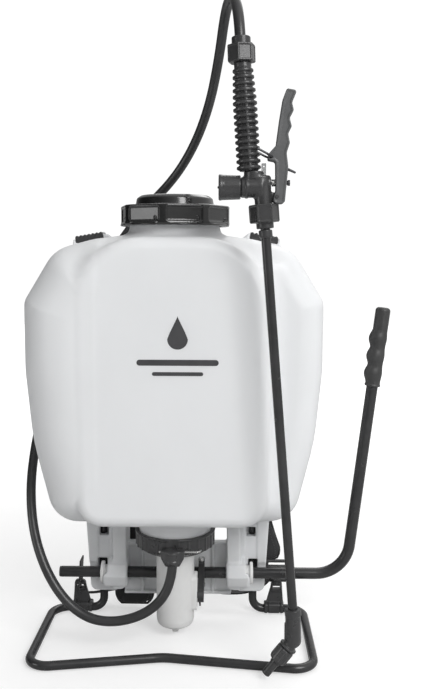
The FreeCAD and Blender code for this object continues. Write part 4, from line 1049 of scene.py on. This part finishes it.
placed(tube("return_spring", coil((113.3, LANCE_Y, STEM_Z), (1, 0, 0), 3.6, 4.5, 4.2), 0.5, 4),
       "sprayer", STEEL, ["valve_spring"])


def tab_field(p):
    tab = slab(p, 102.2, 107.2, 579.2, 592.4, 2.5, 0.9)
    ring = across_lance(p, 104.7, 589, 4, 1.0)
    return cut(tab, ring, 0.3)


def stem_field(p):
    rods = level(p, 97, 130.6, STEM_Z, 2.2, 0.3)
    nut = brick(around(local(p, (130.7, LANCE_Y, STEM_Z), (1, 0, 0)), 6), (-1, -9, 0), (3.1, 9, 2.8), 0.3)
    nut = np.maximum(nut, level(p, 130, 134, STEM_Z, 3.6, 0.5))
    return join(rods, nut, 0.2)


moulded("bleed_lug", tab_field, (101, -129, 578), (109, -121, 594), 0.35, "sprayer",
        CLEAR, ["bleed_tab"])
moulded("push_rod", stem_field, (96, -130, 566), (135, -120, 577), 0.4, "stem", WIRE,
        ["valve_stem"])


def ferrule_field(p):
    q = local(p, LANCE_HEAD + LANCE_AXIS * 25, LANCE_AXIS)
    ring = upright(q, 0, 8, 7.6, 1.2)
    ring = join(ring, upright(q, 5, 9, 6.6, 0.8), 0.6)
    return cut(ring, upright(q, -2, 12, 5.4, 0.1))


black("lance_collar", ferrule_field, (97, -134, 509), (117, -116, 522), 0.5, "lance_ferrule")


# ---- clips and buckles ----
def clip_field(p):
    q = mirrored(p) - (0, LEG_Y, 0)
    hook = rounded(flat(q[:, 1], q[:, 2], softened([(-8, 0.8, 2.5), (8, 0.8, 2.5), (8, 15, 5),
                                                    (-8, 15, 5)])), np.abs(q[:, 0] - 132.2) - 13.2, 1.2)
    fin = rounded(flat(q[:, 0], q[:, 2], softened([(121, 12, 0), (145.5, 12, 0), (143, 45, 4),
                                                   (130, 45, 4)])), np.abs(q[:, 1]) - 3, 1.0)
    shape = join(hook, fin, 2.5)
    eye = brick(q, (128.5, -6, 31), (143, 6, 43), 3.0)
    shape = join(shape, np.maximum(eye, fin - 2.2), 1.5)
    shape = cut(shape, brick(q, (130.7, -12, 34), (140.8, 12, 39), 0.8), 0.8)
    recess = brick(q, (124, -12, 17), (141, -1.6, 29), 1.5)
    shape = cut(shape, np.maximum(recess, fin + 2.4), 0.6)
    for edge in (124.0, 140.5):
        groove = brick(q, (edge - 0.7, -10, 0), (edge + 0.7, 10, 17), 0.5)
        shape = cut(shape, np.maximum(groove, -0.9 - hook), 0.4)
    return cut(shape, rod(q, (100, 0, 5.5), (160, 0, 5.5), 5.56, 0.1), 0.4)


def buckle_field(where):
    def field(p):
        q = p - np.array(where)
        frame_plate = brick(q, (-17, -2.3, -16), (17, 2.3, 16), 1.8)
        for height in (-10, 0, 10):
            frame_plate = cut(frame_plate, brick(q, (-12, -5, height - 2), (12, 5, height + 2), 1.0), 0.9)
        for height in (-5, 5):
            bar = brick(q, (-12.5, -3.2, height - 1.6), (12.5, 1.6, height + 1.6), 1.2)
            frame_plate = join(frame_plate, bar, 0.6)
        return frame_plate
    return field


pair("rail_clip", clip_field, (118, 57, 0), (147, 77, 47), 0.7, BLACK, "strap_clip")
for name, where in (("left", (-66, 88.5, 26)), ("right", (137, 76, 56))):
    low = tuple(c - r for c, r in zip(where, (19, 5, 18)))
    high = tuple(c + r for c, r in zip(where, (19, 5, 18)))
    black(f"ladder_lock_{name}", buckle_field(where), low, high, 0.5, f"strap_buckle_{name}")


# ---- straps ----
def curve_through(rows, spacing):
    """Points about every spacing along a smooth curve through the rows."""
    rows = np.asarray(rows, float)
    ends = np.vstack([2 * rows[0] - rows[1], rows, 2 * rows[-1] - rows[-2]])
    chain = []
    for k in range(1, len(ends) - 2):
        a, b, c, d = ends[k - 1:k + 3]
        knots = [0.0]
        for u, v in ((a, b), (b, c), (c, d)):
            knots.append(knots[-1] + max(np.linalg.norm(v - u), 1e-6) ** 0.5)
        t0, t1, t2, t3 = knots
        steps = max(2, int(np.linalg.norm(c - b) / spacing))
        for t in np.linspace(t1, t2, steps, endpoint=False):
            p1 = a * (t1 - t) / (t1 - t0) + b * (t - t0) / (t1 - t0)
            p2 = b * (t2 - t) / (t2 - t1) + c * (t - t1) / (t2 - t1)
            p3 = c * (t3 - t) / (t3 - t2) + d * (t - t2) / (t3 - t2)
            q1 = p1 * (t2 - t) / (t2 - t0) + p2 * (t - t0) / (t2 - t0)
            q2 = p2 * (t3 - t) / (t3 - t1) + p3 * (t - t1) / (t3 - t1)
            chain.append(q1 * (t2 - t) / (t2 - t1) + q2 * (t - t1) / (t2 - t1))
    chain.append(rows[-1])
    return np.array(chain)


def frames_along(chain, side):
    """For each point: the width's direction and the thickness's direction."""
    along = np.gradient(chain, axis=0)
    along /= np.linalg.norm(along, axis=1)[:, None]
    side = np.asarray(side, float)
    across = side - along * (along @ side)[:, None]
    across /= np.linalg.norm(across, axis=1)[:, None]
    return across, np.cross(along, across)


def band(name, rows, width, thickness, side, stands_for=()):
    """Flat webbing with soft edges and a weave in its own UVs; width may change along it."""
    chain = curve_through(rows, WEB_SPACING)
    across, out = frames_along(chain, side)
    travel = travelled(chain)
    share = travel / travel[-1]
    widths = np.interp(share, *width) if isinstance(width, tuple) else np.full(len(chain), float(width))
    loop = [(-1.0, -0.25), (-0.94, -0.5), (0.94, -0.5), (1.0, -0.25), (1.0, 0.25), (0.94, 0.5),
            (-0.94, 0.5), (-1.0, 0.25)]
    points, coords = [], []
    for k, centre in enumerate(chain):
        for u, v in loop:
            points.append(centre + across[k] * (u * widths[k] / 2) + out[k] * (v * thickness))
            coords.append((u * widths[k] / 2 * MM, travel[k] * MM))
    obj = mesh_object(name, points, loft_faces(len(chain), len(loop)), smooth=False)
    layer = obj.data.uv_layers.new(name="weave")
    for loop_row in obj.data.loops:
        layer.data[loop_row.index].uv = coords[loop_row.vertex_index]
    placed(obj, "sprayer", WEBBING, stands_for)


WEB_SPACING = 2.5
WEB_LEFT = [(-84, 88.5, 24), (-104, 88, 20), (-124, 84, 19), (-136, 74, 26), (-135, 66, 50),
            (-133, 63, 76)]
WEB_RIGHT = [(132, 78, 52), (120, 81, 36), (96, 83, 24), (64, 83, 22), (38, 83, 26), (29, 83, 20),
             (30, 83, 4)]
band("webbing_left", WEB_LEFT, 20, 2.0, (0, 0.9, -0.45), ["strap_webbing_left"])
band("webbing_right", WEB_RIGHT, 16, 2.0, (0, 1, 0), ["strap_webbing_right"])

BACK = 95.0
STRAP_TOP = [(112.7, 48, 514.1), (112.7, 66, 514.3), (112.4, 82, 513), (112, 94, 501),
             (111.5, BACK, 478)]
STRAP_RUNS = {
    "left": [(-106, BACK, 430), (-96, BACK, 350), (-82, 94, 230), (-74, 94, 176), (-67, 89, 120),
             (-62, 82, 50), (-62, 80, 2)],
    "right": [(112, BACK, 430), (111, BACK, 350), (105, 94, 250), (99, 94, 190), (98, 90, 142),
              (108, 86, 100), (122, 83, 62)],
}
PAD_WIDTH = 53.0
PAD_THICK = 7.0
PIPING_IN = 0.4
SEAM_IN = 6.0
SWELL = 2.2              # how far a point may move in the pad's simulation


def pad_outline(travel, length):
    """Half width of the pad at each distance along it, with rounded ends."""
    radius = 20.0
    from_end = np.minimum(travel, length - travel)
    tuck = np.where(from_end < radius, radius - np.sqrt(np.maximum(radius ** 2 - (radius - from_end) ** 2,
                                                                  0)), 0)
    return PAD_WIDTH / 2 - tuck


def pad_mesh(name, chain, across, out):
    """The flat cushion before it swells, with a rounded edge all round."""
    travel = travelled(chain)
    half = np.maximum(pad_outline(travel, travel[-1]), 5.0)
    thick = PAD_THICK * (0.75 + 0.25 * np.clip(np.minimum(travel, travel[-1] - travel) / 12, 0, 1))
    count = 24
    points = []
    for k, centre in enumerate(chain):
        for m in range(count):
            a = 2 * PI * m / count
            u = math.copysign(abs(math.cos(a)) ** 0.42, math.cos(a))
            v = math.copysign(abs(math.sin(a)) ** 0.62, math.sin(a))
            points.append(centre + across[k] * (u * half[k]) + out[k] * (v * thick[k] / 2))
    return mesh_object(name, points, loft_faces(len(chain), count), smooth=True), half


def swollen(obj):
    """Inflates the cushion as sewn cloth over foam, then smooths it."""
    remesh = obj.modifiers.new("remesh", "REMESH")
    remesh.mode = "VOXEL"
    remesh.voxel_size = 0.005
    apply_modifiers(obj)
    before = np.empty(len(obj.data.vertices) * 3)
    obj.data.vertices.foreach_get("co", before)
    cloth = obj.modifiers.new("cloth", "CLOTH")
    cloth.settings.quality = 5
    cloth.settings.mass = 0.2
    cloth.settings.tension_stiffness = 12
    cloth.settings.use_pressure = True
    cloth.settings.uniform_pressure_force = 4
    cloth.settings.effector_weights.gravity = 0
    scene = bpy.context.scene
    for step in range(1, 21):
        scene.frame_set(step)
    apply_modifiers(obj)
    scene.frame_set(1)
    after = np.empty_like(before)
    obj.data.vertices.foreach_get("co", after)
    shift = (after - before).reshape(-1, 3)
    size = np.linalg.norm(shift, axis=1)[:, None]
    limit = SWELL * MM
    moved = before.reshape(-1, 3) + shift * np.minimum(1, limit / np.maximum(size, 1e-9))
    obj.data.vertices.foreach_set("co", moved.ravel())
    obj.data.update()
    smoother = obj.modifiers.new("smooth", "CORRECTIVE_SMOOTH")
    smoother.use_only_smooth = True
    smoother.iterations = 3
    finer = obj.modifiers.new("finer", "SUBSURF")
    finer.levels = finer.render_levels = 1
    apply_modifiers(obj)
    for face in obj.data.polygons:
        face.use_smooth = True


def apply_modifiers(obj):
    graph = bpy.context.evaluated_depsgraph_get()
    fresh = bpy.data.meshes.new_from_object(obj.evaluated_get(graph))
    obj.modifiers.clear()
    obj.data = fresh


def stitches(name, obj, lines):
    """Rows of short thread stitches that lie on the cushion's surface."""
    graph = bpy.context.evaluated_depsgraph_get()
    tree = BVHTree.FromObject(obj, graph)
    points, faces = [], []
    for line in lines:
        travel = travelled(line)
        for start in np.arange(0, travel[-1] - 2.6, 4.2):
            ends = []
            for t in (start, start + 1.3, start + 2.6):
                here = Vector([np.interp(t, travel, line[:, c]) * MM for c in range(3)])
                spot, normal, _, _ = tree.find_nearest(here)
                ends.append((np.array(spot) / MM, np.array(normal)))
            direction = unit(ends[2][0] - ends[0][0])
            base = len(points)
            for k, (spot, normal) in enumerate(ends):
                lift = 0.42 if k == 1 else 0.08
                sideways = np.cross(normal, direction)
                for m in range(6):
                    a = 2 * PI * m / 6
                    ring = sideways * math.cos(a) + normal * math.sin(a)
                    points.append(spot + normal * lift + ring * (0.42 if k == 1 else 0.3))
            faces += [tuple(base + m for m in face) for face in loft_faces(3, 6)]
    made = mesh_object(name, points, faces, smooth=True)
    placed(made, "sprayer", THREAD)


def widened(obj, run, across, half_width):
    """Draw a cushion back out to its seams; returns the first and last row that it covers."""
    mesh = obj.data
    spots = np.array([tuple(v.co) for v in mesh.vertices]) / MM
    gaps = np.linalg.norm(spots[:, None, :] - run[None, :, :], axis=2)
    row = np.argmin(gaps, axis=1)
    aside = np.einsum("ij,ij->i", spots - run[row], np.array(across)[row])
    rows = np.unique(row)
    reach = np.array([np.abs(aside[row == k]).max() for k in rows])
    ratio = np.array(half_width)[rows] / np.maximum(reach, 1.0)
    ratio = np.convolve(np.pad(ratio, 2, mode="edge"), np.ones(5) / 5, mode="valid")
    stretch = np.clip(np.interp(np.arange(len(run)), rows, ratio), 1.0, 1.4)
    moved = spots + np.array(across)[row] * (aside * (stretch[row] - 1))[:, None]
    mesh.vertices.foreach_set("co", (moved * MM).ravel())
    mesh.update()
    return int(rows[0]), int(rows[-1])


def make_strap(name, half):
    tilt = math.tan(EAR_TILT)
    rows = [(half * x, y, z) for x, y, z in STRAP_TOP] + STRAP_RUNS[name]
    side = (1, 0, -half * tilt)
    chain = curve_through(rows, 4.0)
    across, out = frames_along(chain, side)
    travel = travelled(chain)
    first = int(np.searchsorted(travel, 82.0))
    lead = chain[:first + 8]
    band(f"strap_end_{name}", lead[::2], ([0, 0.5, 1.0], [24, 25, 32]), 3.0, side)
    run = chain[first:]
    cushion, half_width = pad_mesh(f"shoulder_pad_{name}", run, across[first:], out[first:])
    swollen(cushion)
    start, end = widened(cushion, run, across[first:], half_width)
    kept = slice(start, end + 1)
    run, half_width = run[kept], half_width[kept]
    across, out = across[first:][kept], out[first:][kept]
    placed(cushion, "sprayer", FABRIC, [f"shoulder_strap_{name}"])
    rim = across * (half_width - PIPING_IN)[:, None]
    piping = tube(f"pad_piping_{name}", np.concatenate([run + rim, (run - rim)[::-1]]), 1.7, 3, closed=True)
    placed(piping, "sprayer", BINDING)
    seam = across * (half_width - SEAM_IN)[:, None]
    lines = [run + edge * seam + out * (face * 6.0) for face in (1, -1) for edge in (1, -1)]
    stitches(f"pad_stitching_{name}", cushion, lines)


make_strap("left", -1)
make_strap("right", 1)


# ---- plain printed mark on the front panel ----
def printed(name, outline, depth=0.12):
    """A thin flat patch of ink on the tank's front, from (x, z) corners."""
    y = -88.0
    count = len(outline)
    front = [(x, y - depth, z) for x, z in outline]
    behind = [(x, y + 0.4, z) for x, z in outline]
    faces = [tuple(range(count)), tuple(range(2 * count - 1, count - 1, -1))]
    faces += [(k, count + k, count + (k + 1) % count, (k + 1) % count) for k in range(count)]
    placed(mesh_object(name, front + behind, faces, smooth=False), "sprayer", PRINT, [])


def pill(x0, x1, z0, z1, segments=10):
    radius = (z1 - z0) / 2
    middle = (z0 + z1) / 2
    outline = []
    for k in range(segments + 1):
        a = -PI / 2 + PI * k / segments
        outline.append((x1 - radius + radius * math.cos(a), middle + radius * math.sin(a)))
    for k in range(segments + 1):
        a = PI / 2 + PI * k / segments
        outline.append((x0 + radius + radius * math.cos(a), middle + radius * math.sin(a)))
    return outline


def drop(x, z, radius, height, segments=40):
    """A water drop's outline: a round bottom drawn up to a point."""
    outline = []
    for k in range(segments):
        a = 2 * PI * k / segments
        c, s = math.cos(a), math.sin(a)
        squeeze = (1 - max(0.0, s)) ** 0.75 if s > 0 else 1.0
        outline.append((x + radius * c * squeeze, z + (height if s > 0 else radius) * s))
    return outline


printed("mark_drop", drop(MARK_X, MARK_Z, 12.0, 27.0))
printed("mark_line_upper", pill(MARK_X - 48, MARK_X + 48, MARK_Z - 31, MARK_Z - 24))
printed("mark_line_lower", pill(MARK_X - 30, MARK_X + 30, MARK_Z - 43, MARK_Z - 38.5))


# ---- finishes of the CAD nodes that still show ----
FINISHES = (
    (COAT, ("stand_frame", "lever_tube", "lance_tube")),
    (BLACK_EDGED, ("crank_arm", "shaft_end_plug", "piston_head", "trigger_pin")),
    (WHITE, ("pressure_chamber", "piston_tube")),
    (BASKET, ("filter_basket", "filter_screen", "intake_strainer")),
    (RUBBER, ("cap_gasket", "vent_valve", "collar_gasket", "piston_seal", "cylinder_wiper",
              "outlet_o_ring", "stem_seal", "lance_o_ring")),
    (STEEL, ("bracket_screws", "stand_screws", "crank_bolt", "check_ball")),
    (WIRE, ("lock_bail",)),
)
for finish, names in FINISHES:
    for name in names:
        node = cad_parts[name]
        node.data.materials.clear()
        node.data.materials.append(finish)
